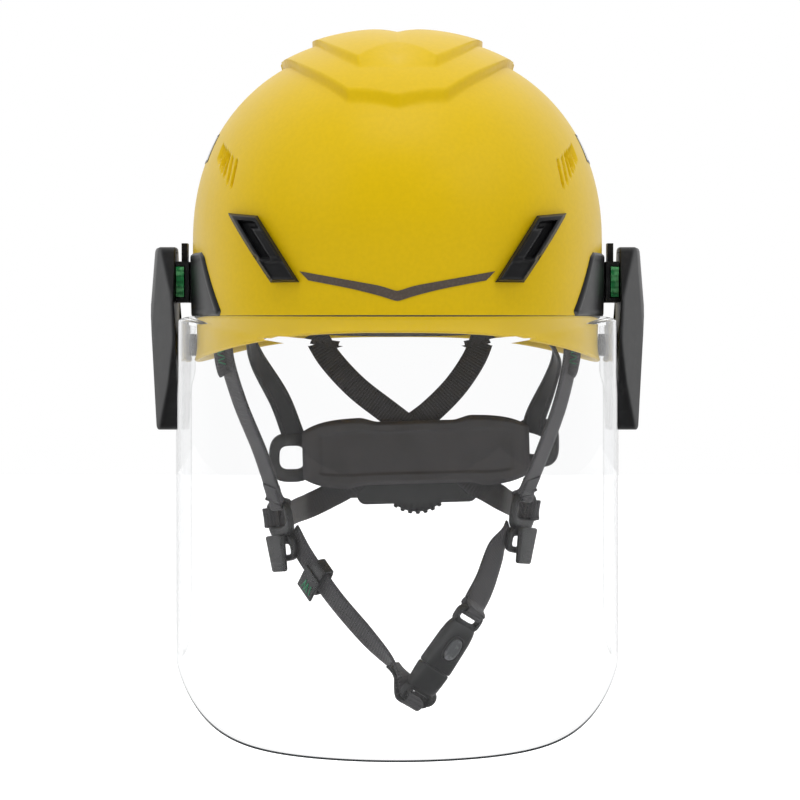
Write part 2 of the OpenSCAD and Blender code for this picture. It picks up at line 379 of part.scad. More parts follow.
// rear straps run down from the shell, cross behind the nape pad and come forward
module chin_strap_rear_left() color([0.22, 0.21, 0.22])
  web([[-48, 112, 6.4], [-39, 106, -8], [-24, 100, -24], [-6, 97.2, -38], [10, 96.9, -50], [27, 96.3, -62], [42, 94.6, -77], [53, 92.5, -83.5], [61, 86, -88], [65.5, 62, -90], [67.5, 30, -91.5], [68.4, 8, -91.8]], [[1, 0, 0.08], [1, 0, 0.4], [0.7, 0, 0.7], [0.7, 0, 0.8], [0.65, 0, 0.8], [0.6, 0, 0.8], [0.45, 0, 1], [0.25, 0.1, 1], [0.1, 0.2, 1], [0, 0.1, 1], [0, 0, 1], [0, 0, 1]], 14, 1.4, 3);
module chin_strap_rear_right() color([0.22, 0.21, 0.22])
  web([[50, 112, 6.4], [44, 106, -8], [33, 101, -24], [19, 98.9, -38], [6, 99.2, -48], [-12, 96.6, -64], [-27, 94.6, -79], [-40, 92.5, -86.5], [-51, 84, -91.5], [-57, 60, -93], [-61.5, 28, -94.5], [-64, 8, -95]], [[-1, 0, 0.08], [-1, 0, 0.4], [-0.7, 0, 0.7], [-0.7, 0, 0.8], [-0.65, 0, 0.8], [-0.6, 0, 0.8], [-0.45, 0, 1], [-0.25, 0.1, 1], [-0.1, 0.2, 1], [0, 0.1, 1], [0, 0, 1], [0, 0, 1]], 14, 1.4, 3);
module dset(c) translate(c) rotate([0, -9, 0]) rotate([0, 0, 34]) children();
module divider(c) dset(c) difference() {
  translate([-2.2, -11, -22]) cube([4.4, 22, 34]);
  translate([-3, -8.4, -3]) cube([6, 16.8, 11.5]);
  translate([-3, -8.4, -18.5]) cube([6, 16.8, 6]);
}
div_l = [-63.9, -3, -96];
div_r = [68.4, -3, -91.6];
module divider_left() color([0.09, 0.09, 0.1]) divider(div_l);
module divider_right() color([0.09, 0.09, 0.1]) mirror([1, 0, 0]) divider(mx(div_r));
module lever_l(c) dset(c) difference() {
  translate([-6.9, -8, -27]) cube([4, 16, 20]);
  translate([-3.7, -9, -28]) cube([2, 18, 5]);
}
module cam_lever_left() color([0.13, 0.13, 0.14]) lever_l(div_l);
module cam_lever_right() color([0.13, 0.13, 0.14]) mirror([1, 0, 0]) lever_l(mx(div_r));
module chin_strap_lower_left() color([0.24, 0.23, 0.24])
  web([[-57, -4, -102.3], [-49.4, -12.7, -115.3], [-34, -27, -136], [-17, -38, -155], [-4, -45.2, -168.5], [2.7, -48.6, -177]], [for (i = [0:5]) [0.5, -0.75, 0.4]], 14, 1.6, 3);
module chin_strap_lower_right() color([0.24, 0.23, 0.24])
  web([[61, -3.9, -100.3], [53.8, -13.4, -111], [46.9, -30.6, -128], [40.6, -46, -138.6]], [for (i = [0:3]) [-0.5, -0.75, -0.4]], 14, 1.6, 3);
module strap_keeper() color([0.12, 0.12, 0.13]) translate([-42.22, -19.72, -125.32]) rotate([135.10, -8.87, 37.66]) difference() {
  cube([8, 18.8, 10], center = true);
  cube([4.6, 16.2, 12], center = true);
}
// chin buckle in its own frame: +z towards the upper right strap
module bset() translate([23.6, -51, -165.6]) rotate([0, 34, 0]) rotate([0, 0, 36]) children();
module buckle_socket() color([0.1, 0.1, 0.11]) bset() difference() {
  union() {
    translate([-10, -4.5, -7]) cube([20, 9, 27]);
    translate([-8.5, -2.6, 19.9]) cube([17, 5.2, 10.4]);
  }
  translate([-7.6, -2.6, -8]) cube([15.2, 5.2, 22]);
  translate([-6.5, -3, 22.8]) cube([13, 6, 4.4]);
  translate([-4.4, -4.6, 0]) cube([8.8, 2.4, 13]);
}
module buckle_button() color([0.42, 0.44, 0.46]) bset() translate([-4, -5.5, 0.4]) cube([8, 3, 12.2]);
module buckle_spring() color([0.6, 0.6, 0.62]) bset() translate([-3, 1.7, 1]) cube([6, 0.9, 11]);
module buckle_plug() color([0.1, 0.1, 0.11]) bset() difference() {
  union() {
    translate([-10, -4.5, -21]) cube([20, 9, 13.8]);
    translate([-7.2, -0.6, -7.3]) cube([14.4, 1.9, 19]);
    translate([-10, -2.6, -30]) cube([20, 5.2, 9.2]);
  }
  translate([-8, -3, -27.4]) cube([16, 6, 4.4]);
}
module strap_end_cap() color([0.08, 0.08, 0.09]) translate([15.6, -36.4, -188.6]) sphere(r = 5.5);

shell();
front_reflective_strip();
side_marker_left();
side_marker_right();
lamp_clip_front_left();
lamp_clip_front_right();
lamp_clip_rear_left();
lamp_clip_rear_right();
slot_adapter_left();
slot_adapter_right();
pivot_block_left();
pivot_block_right();
pivot_pins();
release_tab_left();
release_tab_right();
visor_lens();
arm_plate_left();
arm_plate_right();
arm_cover_left();
arm_cover_right();
lens_screws();
lens_spacers();
lens_nuts();
strap_anchors();
crown_strap_a();
crown_strap_b();
crown_pad();
headband();
headband_hangers();
brow_pad();
headband_rivets();
nape_arm_left();
nape_arm_right();
nape_pad();
ratchet_housing();
ratchet_cover();
rack_left();
rack_right();
ratchet_pinion();
ratchet_knob();
knob_screw();
chin_strap_front_left();
chin_strap_front_right();
chin_strap_rear_left();
chin_strap_rear_right();
chin_strap_lower_left();
chin_strap_lower_right();
strap_keeper();
divider_left();
divider_right();
cam_lever_left();
cam_lever_right();
buckle_socket();
buckle_plug();
buckle_button();
buckle_spring();
strap_end_cap();
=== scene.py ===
import bpy, bmesh, math
import numpy as np
from mathutils import Matrix, Vector

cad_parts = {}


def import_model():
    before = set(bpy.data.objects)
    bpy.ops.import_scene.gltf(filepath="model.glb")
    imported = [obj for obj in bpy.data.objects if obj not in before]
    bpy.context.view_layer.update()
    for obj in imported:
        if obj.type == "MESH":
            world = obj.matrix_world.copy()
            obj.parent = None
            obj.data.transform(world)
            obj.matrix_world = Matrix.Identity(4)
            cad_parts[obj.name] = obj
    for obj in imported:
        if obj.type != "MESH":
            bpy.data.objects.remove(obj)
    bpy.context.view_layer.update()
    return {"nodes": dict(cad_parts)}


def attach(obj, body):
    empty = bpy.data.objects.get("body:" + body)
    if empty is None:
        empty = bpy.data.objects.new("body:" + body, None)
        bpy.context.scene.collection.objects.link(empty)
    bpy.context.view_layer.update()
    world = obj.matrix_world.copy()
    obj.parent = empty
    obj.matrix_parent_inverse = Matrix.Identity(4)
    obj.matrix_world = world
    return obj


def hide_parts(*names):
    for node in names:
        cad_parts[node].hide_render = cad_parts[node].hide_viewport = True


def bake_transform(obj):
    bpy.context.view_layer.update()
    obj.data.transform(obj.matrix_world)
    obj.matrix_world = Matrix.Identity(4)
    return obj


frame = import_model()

NODES = frame["nodes"]
M = 0.001

# ------------------------------------------------------------------ maths
W, LF, LB, Z0, H, NP, NE = 111.0, 139.0, 143.0, 55.0, 109.0, 2.15, 2.2
T_SHELL = 2.6
TIER1, TIER2 = 4.2, 3.2


def sp(v, p):
    return np.sign(v) * np.abs(v) ** p


def sstep(a, b, v):
    t = np.clip((v - a) / (b - a), 0, 1)
    return t * t * (3 - 2 * t)


def rim_z(ca, sa):
    return 6.8 - 15 * np.abs(ca) ** 2.6 - np.where(sa > 0, 1.5 * sa, 0)


def tf1(x):
    t = np.maximum(0, np.abs(x) - 25)
    return -115 + 0.27 * np.minimum(25, np.abs(x)) + 1.2 * t + 0.0125 * t * t + 47 * (t / 37) ** 6


def tf2(x):
    t = np.maximum(0, np.abs(x) - 19)
    return -94 + 0.2 * np.minimum(19, np.abs(x)) + 1.2 * t + 0.03 * t * t + 39 * (t / 25.4) ** 6


def crown(x, y):
    a = TIER1 * sstep(-1.2, 4.4, y - tf1(x)) * sstep(-1.2, 4.4, 2 - tf1(x) - y)
    w = 6 + 24 * np.maximum(0, 1 - np.abs(x) / 19)
    b = TIER2 * np.clip((y - tf2(x)) / w, 0, 1) * np.clip((4 - tf2(x) - y) / w, 0, 1)
    c = -2 * np.exp(-np.abs(x / 7) ** 1.3) * sstep(-2, 16, y - tf2(x)) * sstep(-2, 16, 4 - tf2(x) - y)
    return a + b + c


def lev(z):
    z = np.asarray(z, float)
    s = (np.clip((z - Z0) / H, 0, 0.9999)) ** (NE / 2)
    return np.where(z <= Z0, 1 - 0.01 * ((Z0 - z) / Z0) ** 2, np.maximum(1e-4, 1 - s * s) ** (1 / NE))


def fy(x, z, off=0.0):
    l = lev(z)
    return -(LF * l + off) * np.maximum(0.001, 1 - (np.abs(x) / (W * l + off)) ** NP) ** (1 / NP)


def sx(y, z, off=0.0):
    l = lev(z)
    ly = np.where(np.asarray(y) < 0, LF, LB)
    return (W * l + off) * (1 - (np.abs(y) / (ly * l + off)) ** NP) ** (1 / NP)


def skin(a, z, off):
    c, s = math.cos(math.radians(a)), math.sin(math.radians(a))
    l = float(lev(z))
    return np.array([(W * l + off) * float(sp(c, 2 / NP)), ((LF if s < 0 else LB) * l + off) * float(sp(s, 2 / NP)), z])


def smooth_path(pts, n):
    p = [np.array(q, float) for q in pts]
    m = len(p)
    out = []
    for i in range(m - 1):
        a = p[i - 1] if i else 2 * p[0] - p[1]
        b, c = p[i], p[i + 1]
        d = p[i + 2] if i + 2 < m else 2 * p[-1] - p[-2]
        for k in range(n):
            t = k / n
            out.append(0.5 * (2 * b + (c - a) * t + (2 * a - 5 * b + 4 * c - d) * t * t + (3 * b - a - 3 * c + d) * t ** 3))
    out.append(p[-1])
    return np.array(out)


def rot(axis, deg):
    return np.array(Matrix.Rotation(math.radians(deg), 3, axis))


# ------------------------------------------------------------------ mesh helpers
def link(ob):
    bpy.context.scene.collection.objects.link(ob)
    return ob


def finish_mesh(me, angle=35):
    bm = bmesh.new()
    bm.from_mesh(me)
    bmesh.ops.recalc_face_normals(bm, faces=bm.faces)
    lim = math.radians(angle)
    for f in bm.faces:
        f.smooth = True
    for e in bm.edges:
        e.smooth = not (len(e.link_faces) == 2 and e.calc_face_angle(0) > lim)
    bm.to_mesh(me)
    bm.free()


def obj(name, verts, faces, mats, body=None, repl=(), angle=35, uv=None, mat_idx=None):
    me = bpy.data.meshes.new(name)
    v = np.asarray(verts, float) * M
    me.from_pydata(v.tolist(), [], [list(map(int, f)) for f in faces])
    me.update()
    for m in (mats if isinstance(mats, (list, tuple)) else [mats]):
        me.materials.append(m)
    if mat_idx is not None:
        me.polygons.foreach_set("material_index", np.asarray(mat_idx, dtype=np.int32))
    if uv is not None:
        lay = me.uv_layers.new(name="UVMap")
        li = np.zeros(len(me.loops), dtype=np.int32)
        me.loops.foreach_get("vertex_index", li)
        lay.data.foreach_set("uv", np.asarray(uv, float)[li].ravel())
    finish_mesh(me, angle)
    ob = link(bpy.data.objects.new(name, me))
    if body:
        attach(ob, body)
    if repl:
        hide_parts(*repl)
    return ob


def slab(A, B, wrap=False):
    A = np.asarray(A, float)
    B = np.asarray(B, float)
    nj, ni = A.shape[:2]
    o = nj * ni
    V = np.concatenate([A.reshape(-1, 3), B.reshape(-1, 3)])
    e = ni if wrap else ni - 1
    F = []
    for j in range(nj - 1):
        for i in range(e):
            a = j * ni + i
            b = j * ni + (i + 1) % ni
            F.append((a, b, b + ni, a + ni))
            F.append((o + a, o + a + ni, o + b + ni, o + b))
    for i in range(e):
        a, b = i, (i + 1) % ni
        F.append((a, o + a, o + b, b))
        a += (nj - 1) * ni
        b += (nj - 1) * ni
        F.append((a, b, o + b, o + a))
    if not wrap:
        for j in range(nj - 1):
            a, d = j * ni, (j + 1) * ni
            F.append((a, d, o + d, o + a))
            a, d = a + ni - 1, d + ni - 1
            F.append((a, o + a, o + d, d))
    return V, F


def tube(P, D, prof, closed_ends=True):
    """sweep a closed profile (list of (across, up)) along points P with width directions D; gives verts, faces, uv"""
    P = np.asarray(P, float)
    D = np.asarray(D, float)
    m = len(P)
    tg = np.array([P[min(i + 1, m - 1)] - P[max(i - 1, 0)] for i in range(m)])
    tg /= np.linalg.norm(tg, axis=1)[:, None]
    dd = D - tg * (D * tg).sum(1)[:, None]
    dd /= np.linalg.norm(dd, axis=1)[:, None]
    nn = np.cross(tg, dd)
    k = len(prof)
    s = np.concatenate([[0], np.cumsum(np.linalg.norm(np.diff(P, axis=0), axis=1))])
    V, UV, F = [], [], []
    for i in range(m):
        for a, b in prof:
            V.append(P[i] + dd[i] * a + nn[i] * b)
            UV.append((s[i], a))
    for i in range(m - 1):
        for j in range(k):
            a = i * k + j
            b = i * k + (j + 1) % k
            F.append((a, b, b + k, a + k))
    if closed_ends:
        F.append(tuple(range(k))[::-1])
        F.append(tuple(range((m - 1) * k, m * k)))
    return np.array(V), F, np.array(UV)


def web_prof(w, t, n=6, crown_h=0.0):
    h = w / 2
    top = [(-h + 0.35 * t + (w - 0.7 * t) * i / n, t / 2 + crown_h * (1 - (2 * i / n - 1) ** 2)) for i in range(n + 1)]
    bot = [(-x, -y) for x, y in top]
    return top + [(h, t * 0.18), (h, -t * 0.18)] + bot + [(-h, -t * 0.18), (-h, t * 0.18)]


def webbing(name, P, D, w, t, mat, body, repl=(), n=8, dn=None, wav=0.0):
    P = smooth_path(P, n)
    D = smooth_path(D, n)
    V, F, UV = tube(P, D, web_prof(w, t))
    return obj(name, V, F, mat, body, repl, 50, UV)


def bevel_box(dims, bev, seg=3, centre=(0, 0, 0), taper=None):
    bm = bmesh.new()
    bmesh.ops.create_cube(bm, size=1)
    for v in bm.verts:
        v.co = Vector((v.co.x * dims[0], v.co.y * dims[1], v.co.z * dims[2]))
    if taper:
        taper(bm)
    bmesh.ops.bevel(bm, geom=list(bm.edges), offset=bev, segments=seg, affect="EDGES", profile=0.5)
    V = [np.array(v.co) + np.array(centre) for v in bm.verts]
    bm.verts.index_update()
    F = [[v.index for v in f.verts] for f in bm.faces]
    bm.free()
    return np.array(V), F


def prism(poly, z0, z1, bev=0.8, seg=3, holes=()):
    """closed prism on a polygon (list of (x, y)), with rounded top and bottom rims"""
    bm = bmesh.new()
    vs = [bm.verts.new((x, y, z0)) for x, y in poly]
    f = bm.faces.new(vs)
    r = bmesh.ops.extrude_face_region(bm, geom=[f])
    for g in r["geom"]:
        if isinstance(g, bmesh.types.BMVert):
            g.co.z = z1
    bmesh.ops.recalc_face_normals(bm, faces=bm.faces)
    if bev:
        es = [e for e in bm.edges if abs(e.verts[0].co.z - e.verts[1].co.z) < 1e-6]
        bmesh.ops.bevel(bm, geom=es, offset=bev, segments=seg, affect="EDGES", profile=0.5)
    bm.verts.index_update()
    V = np.array([v.co[:] for v in bm.verts])
    F = [[v.index for v in g.verts] for g in bm.faces]
    bm.free()
    return V, F


def lathe(prof, n=64):
    """prof: list of (r, z); closed ring profile"""
    V, F = [], []
    k = len(prof)
    for i in range(n):
        a = 2 * math.pi * i / n
        for r, z in prof:
            V.append((r * math.cos(a), r * math.sin(a), z))
    for i in range(n):
        for j in range(k):
            a = i * k + j
            b = i * k + (j + 1) % k
            c = ((i + 1) % n) * k + j
            d = ((i + 1) % n) * k + (j + 1) % k
            F.append((a, c, d, b))
    return np.array(V), F


def join(parts):
    V, F, o = [], [], 0
    for v, f in parts:
        V.append(np.asarray(v, float))
        F += [[i + o for i in g] for g in f]
        o += len(v)
    return np.concatenate(V), F


def xf(V, R=None, t=(0, 0, 0)):
    V = np.asarray(V, float)
    if R is not None:
        V = V @ np.asarray(R).T
    return V + np.array(t, float)


def mirror_x(V):
    V = np.array(V, float)
    V[:, 0] *= -1
    return V


def round_poly(pts, r, n=5):
    out = []
    m = len(pts)
    for i in range(m):
        a, b, c = (np.array(pts[k % m], float) for k in (i - 1, i, i + 1))
        u, v = a - b, c - b
        lu, lv = np.linalg.norm(u), np.linalg.norm(v)
        q = min(r, lu * 0.45, lv * 0.45)
        p0, p1 = b + u / lu * q, b + v / lv * q
        for k in range(n + 1):
            t = k / n
            out.append((1 - t) ** 2 * p0 + 2 * t * (1 - t) * b + t * t * p1)
    return [tuple(p) for p in out]


def sup(cx, cz, hx, hz, ex, n):
    out = []
    for i in range(n):
        a = 2 * math.pi * i / n
        out.append((cx + hx * float(sp(math.cos(a), 2 / ex)), cz + hz * float(sp(math.sin(a), 2 / ex))))
    return out


def rings_closed(rings, wrap=True, caps=False):
    """rings: list of equal lists of points; joined one after another"""
    n = len(rings[0])
    V = np.array([q for r in rings for q in r], float)
    F = []
    m = len(rings)
    for j in range(m if wrap else m - 1):
        for i in range(n):
            a, b = j * n + i, j * n + (i + 1) % n
            c, d = ((j + 1) % m) * n + (i + 1) % n, ((j + 1) % m) * n + i
            F.append((a, b, c, d))
    if caps:
        F.append(tuple(range(n))[::-1])
        F.append(tuple(range((m - 1) * n, m * n)))
    return V, F


def ring_plate(outer, inner, th, bev=0.6, n=64):
    """flat ring in the x-z plane; outer and inner are (cx, cz, hx, hz, ex); thickness along y"""
    h = th / 2
    prof = [(1, 0.0, -h + bev), (1, 0.0, h - bev), (1, bev * 0.35, h - bev * 0.3), (1, bev, h), (0, bev, h), (0, bev * 0.35, h - bev * 0.3), (0, 0.0, h - bev),
            (0, 0.0, -h + bev), (0, bev * 0.35, -h + bev * 0.3), (0, bev, -h), (1, bev, -h), (1, bev * 0.35, -h + bev * 0.3)]
    rings = []
    for o, d, y in prof:
        cx, cz, hx, hz, ex = outer if o else inner
        g = -d if o else d
        rings.append([(x, y, z) for x, z in sup(cx, cz, hx + g, hz + g, ex, n)])
    return rings_closed(rings)


def loft(secs, n=56):
    """secs: list of (z, hx, hy, ex) sections, closed at both ends"""
    rings = [[(x, y, z) for x, y in sup(0, 0, hx, hy, ex, n)] for z, hx, hy, ex in secs]
    return rings_closed(rings, False, True)


# ------------------------------------------------------------------ materials
def mat(name):
    m = bpy.data.materials.new(name)
    m.use_nodes = True
    nt = m.node_tree
    return m, nt, nt.nodes["Principled BSDF"]


def nd(nt, kind, **kw):
    n = nt.nodes.new(kind)
    for k, v in kw.items():
        if k in n.inputs.keys():
            n.inputs[k].default_value = v
        else:
            setattr(n, k, v)
    return n


def ramp(nt, fac, stops):
    r = nt.nodes.new("ShaderNodeValToRGB")
    els = r.color_ramp.elements
    while len(els) < len(stops):
        els.new(0.5)
    for e, (p, c) in zip(els, stops):
        e.position = p
        e.color = c if len(c) == 4 else (*c, 1)
    nt.links.new(fac, r.inputs["Fac"])
    return r


def rough_map(nt, fac, lo, hi):
    r = nt.nodes.new("ShaderNodeMapRange")
    r.inputs["To Min"].default_value = lo
    r.inputs["To Max"].default_value = hi
    nt.links.new(fac, r.inputs["Value"])
    return r.outputs["Result"]


def coords(nt, scale=1.0):
    t = nt.nodes.new("ShaderNodeTexCoord")
    return t


def moulded(name, c0, c1, rough=(0.38, 0.52), grain=2600, bump=0.12, dist=0.00006, spec=0.5, cloud=45, coat=0.0, coat_r=0.1, wear=None):
    """moulded plastic: cloudy colour, fine moulded grain, faint scuffs and rubbed edges"""
    m, nt, b = mat(name)
    tc = coords(nt)
    n1 = nd(nt, "ShaderNodeTexNoise", Scale=cloud, Detail=4.0, Roughness=0.6)
    nt.links.new(tc.outputs["Object"], n1.inputs["Vector"])
    r = ramp(nt, n1.outputs["Fac"], [(0.3, c0), (0.7, c1)])
    col = r.outputs["Color"]
    if wear is not None:
        g = nt.nodes.new("ShaderNodeNewGeometry")
        n4 = nd(nt, "ShaderNodeTexNoise", Scale=260.0, Detail=3.0)
        nt.links.new(tc.outputs["Object"], n4.inputs["Vector"])
        ad = nd(nt, "ShaderNodeMath", operation="MULTIPLY")
        nt.links.new(g.outputs["Pointiness"], ad.inputs[0])
        nt.links.new(n4.outputs["Fac"], ad.inputs[1])
        rr = ramp(nt, ad.outputs[0], [(0.29, (0, 0, 0)), (0.36, (1, 1, 1))])
        mx = nd(nt, "ShaderNodeMixRGB")
        mx.inputs["Color2"].default_value = (*wear, 1)
        nt.links.new(rr.outputs["Color"], mx.inputs["Fac"])
        nt.links.new(col, mx.inputs["Color1"])
        col = mx.outputs["Color"]
    nt.links.new(col, b.inputs["Base Color"])
    n2 = nd(nt, "ShaderNodeTexNoise", Scale=grain, Detail=2.0)
    nt.links.new(tc.outputs["Object"], n2.inputs["Vector"])
    n3 = nd(nt, "ShaderNodeTexNoise", Scale=120.0, Detail=5.0, Distortion=0.6)
    nt.links.new(tc.outputs["Object"], n3.inputs["Vector"])
    nt.links.new(rough_map(nt, n3.outputs["Fac"], *rough), b.inputs["Roughness"])
    bp = nd(nt, "ShaderNodeBump", Strength=bump, Distance=dist)
    nt.links.new(n2.outputs["Fac"], bp.inputs["Height"])
    nt.links.new(bp.outputs["Normal"], b.inputs["Normal"])
    b.inputs["Specular IOR Level"].default_value = spec
    if coat:
        b.inputs["Coat Weight"].default_value = coat
        b.inputs["Coat Roughness"].default_value = coat_r
    return m


def shell_paint():
    m, nt, b = mat("shell_yellow")
    tc = coords(nt)
    n1 = nd(nt, "ShaderNodeTexNoise", Scale=9.0, Detail=3.0)
    nt.links.new(tc.outputs["Object"], n1.inputs["Vector"])
    r = ramp(nt, n1.outputs["Fac"], [(0.3, (0.71, 0.475, 0.001)), (0.7, (0.735, 0.492, 0.002))])
    n5 = nd(nt, "ShaderNodeTexNoise", Scale=420.0, Detail=2.0)
    nt.links.new(tc.outputs["Object"], n5.inputs["Vector"])
    r2 = ramp(nt, n5.outputs["Fac"], [(0.35, (0.965, 0.965, 0.965)), (0.65, (1, 1, 1))])
    mx = nd(nt, "ShaderNodeMixRGB", blend_type="MULTIPLY")
    mx.inputs["Fac"].default_value = 1
    nt.links.new(r.outputs["Color"], mx.inputs["Color1"])
    nt.links.new(r2.outputs["Color"], mx.inputs["Color2"])
    nt.links.new(mx.outputs["Color"], b.inputs["Base Color"])
    n3 = nd(nt, "ShaderNodeTexNoise", Scale=60.0, Detail=6.0, Distortion=0.8)
    nt.links.new(tc.outputs["Object"], n3.inputs["Vector"])
    nt.links.new(rough_map(nt, n3.outputs["Fac"], 0.33, 0.43), b.inputs["Roughness"])
    n2 = nd(nt, "ShaderNodeTexNoise", Scale=1500.0, Detail=2.0)
    nt.links.new(tc.outputs["Object"], n2.inputs["Vector"])
    n6 = nd(nt, "ShaderNodeTexNoise", Scale=22.0, Detail=1.0)
    nt.links.new(tc.outputs["Object"], n6.inputs["Vector"])
    ad = nd(nt, "ShaderNodeMath", operation="MULTIPLY_ADD")
    ad.inputs[1].default_value = 6.0
    nt.links.new(n6.outputs["Fac"], ad.inputs[0])
    nt.links.new(n2.outputs["Fac"], ad.inputs[2])
    bp = nd(nt, "ShaderNodeBump", Strength=0.18, Distance=0.00005)
    nt.links.new(ad.outputs[0], bp.inputs["Height"])
    nt.links.new(bp.outputs["Normal"], b.inputs["Normal"])
    b.inputs["Specular IOR Level"].default_value = 0.26
    b.inputs["Subsurface Weight"].default_value = 0.0
    return m


def webbing_mat(name, c0, c1, thread=None, pitch=1.05):
    """woven polyester tape: cross ribs with a fine diagonal; UV is in millimetres"""
    m, nt, b = mat(name)
    tc = coords(nt)
    sep = nt.nodes.new("ShaderNodeSeparateXYZ")
    nt.links.new(tc.outputs["UV"], sep.inputs[0])

    def wave(sock, k, ph=0.0):
        a = nd(nt, "ShaderNodeMath", operation="MULTIPLY_ADD")
        a.inputs[1].default_value = k
        a.inputs[2].default_value = ph
        nt.links.new(sock, a.inputs[0])
        s = nd(nt, "ShaderNodeMath", operation="SINE")
        nt.links.new(a.outputs[0], s.inputs[0])
        return s.outputs[0]

    rib = wave(sep.outputs["X"], 2 * math.pi / pitch)
    warp = wave(sep.outputs["Y"], 2 * math.pi / 0.8)
    mu = nd(nt, "ShaderNodeMath", operation="MULTIPLY")
    nt.links.new(rib, mu.inputs[0])
    nt.links.new(warp, mu.inputs[1])
    h = nd(nt, "ShaderNodeMath", operation="MULTIPLY_ADD")
    h.inputs[1].default_value = 0.6
    nt.links.new(mu.outputs[0], h.inputs[0])
    nt.links.new(rib, h.inputs[2])
    hm = nt.nodes.new("ShaderNodeMapRange")
    hm.inputs["From Min"].default_value = -1.6
    hm.inputs["From Max"].default_value = 1.6
    nt.links.new(h.outputs[0], hm.inputs["Value"])
    n1 = nd(nt, "ShaderNodeTexNoise", Scale=90.0, Detail=4.0)
    nt.links.new(tc.outputs["Object"], n1.inputs["Vector"])
    n2 = nd(nt, "ShaderNodeTexNoise", Scale=2200.0, Detail=2.0)
    nt.links.new(tc.outputs["Object"], n2.inputs["Vector"])
    mixf = nd(nt, "ShaderNodeMath", operation="MULTIPLY_ADD")
    mixf.inputs[1].default_value = 0.16
    nt.links.new(n1.outputs["Fac"], mixf.inputs[0])
    nt.links.new(hm.outputs["Result"], mixf.inputs[2])
    r = ramp(nt, mixf.outputs[0], [(0.1, c0), (1.0, c1)])
    nt.links.new(r.outputs["Color"], b.inputs["Base Color"])
    hh = nd(nt, "ShaderNodeMath", operation="MULTIPLY_ADD")
    hh.inputs[1].default_value = 0.1
    nt.links.new(n2.outputs["Fac"], hh.inputs[0])
    nt.links.new(hm.outputs["Result"], hh.inputs[2])
    bp = nd(nt, "ShaderNodeBump", Strength=0.55, Distance=0.0003)
    nt.links.new(hh.outputs[0], bp.inputs["Height"])
    nt.links.new(bp.outputs["Normal"], b.inputs["Normal"])
    nt.links.new(rough_map(nt, n1.outputs["Fac"], 0.6, 0.85), b.inputs["Roughness"])
    b.inputs["Sheen Weight"].default_value = 0.25
    b.inputs["Sheen Roughness"].default_value = 0.4
    return m


def cloth_mat(name, c0, c1, scale=900.0):
    m, nt, b = mat(name)
    tc = coords(nt)
    v = nd(nt, "ShaderNodeTexVoronoi", Scale=scale)
    nt.links.new(tc.outputs["Object"], v.inputs["Vector"])
    n1 = nd(nt, "ShaderNodeTexNoise", Scale=70.0, Detail=5.0)
    nt.links.new(tc.outputs["Object"], n1.inputs["Vector"])
    ad = nd(nt, "ShaderNodeMath", operation="MULTIPLY_ADD")
    ad.inputs[1].default_value = 0.6
    nt.links.new(v.outputs["Distance"], ad.inputs[0])
    nt.links.new(n1.outputs["Fac"], ad.inputs[2])
    r = ramp(nt, ad.outputs[0], [(0.35, c0), (1.0, c1)])
    nt.links.new(r.outputs["Color"], b.inputs["Base Color"])
    bp = nd(nt, "ShaderNodeBump", Strength=0.5, Distance=0.0003)
    nt.links.new(v.outputs["Distance"], bp.inputs["Height"])
    nt.links.new(bp.outputs["Normal"], b.inputs["Normal"])
    nt.links.new(rough_map(nt, n1.outputs["Fac"], 0.75, 0.92), b.inputs["Roughness"])
    b.inputs["Sheen Weight"].default_value = 0.3
    return m


def steel_mat(name, c0, c1):
    m, nt, b = mat(name)
    tc = coords(nt)
    n1 = nd(nt, "ShaderNodeTexNoise", Scale=300.0, Detail=4.0, Distortion=1.0)
    nt.links.new(tc.outputs["Object"], n1.inputs["Vector"])
    r = ramp(nt, n1.outputs["Fac"], [(0.3, c0), (0.7, c1)])
    nt.links.new(r.outputs["Color"], b.inputs["Base Color"])
    nt.links.new(rough_map(nt, n1.outputs["Fac"], 0.22, 0.42), b.inputs["Roughness"])
    b.inputs["Metallic"].default_value = 1.0
    return m


def reflective_mat():
    m, nt, b = mat("reflective_film")
    tc = coords(nt)
    v = nd(nt, "ShaderNodeTexVoronoi", Scale=700.0)
    nt.links.new(tc.outputs["Object"], v.inputs["Vector"])
    r = ramp(nt, v.outputs["Distance"], [(0.0, (0.125, 0.098, 0.078)), (0.6, (0.09, 0.07, 0.056))])
    nt.links.new(r.outputs["Color"], b.inputs["Base Color"])
    n1 = nd(nt, "ShaderNodeTexNoise", Scale=200.0)
    nt.links.new(tc.outputs["Object"], n1.inputs["Vector"])
    nt.links.new(rough_map(nt, n1.outputs["Fac"], 0.35, 0.5), b.inputs["Roughness"])
    bp = nd(nt, "ShaderNodeBump", Strength=0.2, Distance=0.00008)
    nt.links.new(v.outputs["Distance"], bp.inputs["Height"])
    nt.links.new(bp.outputs["Normal"], b.inputs["Normal"])
    return m


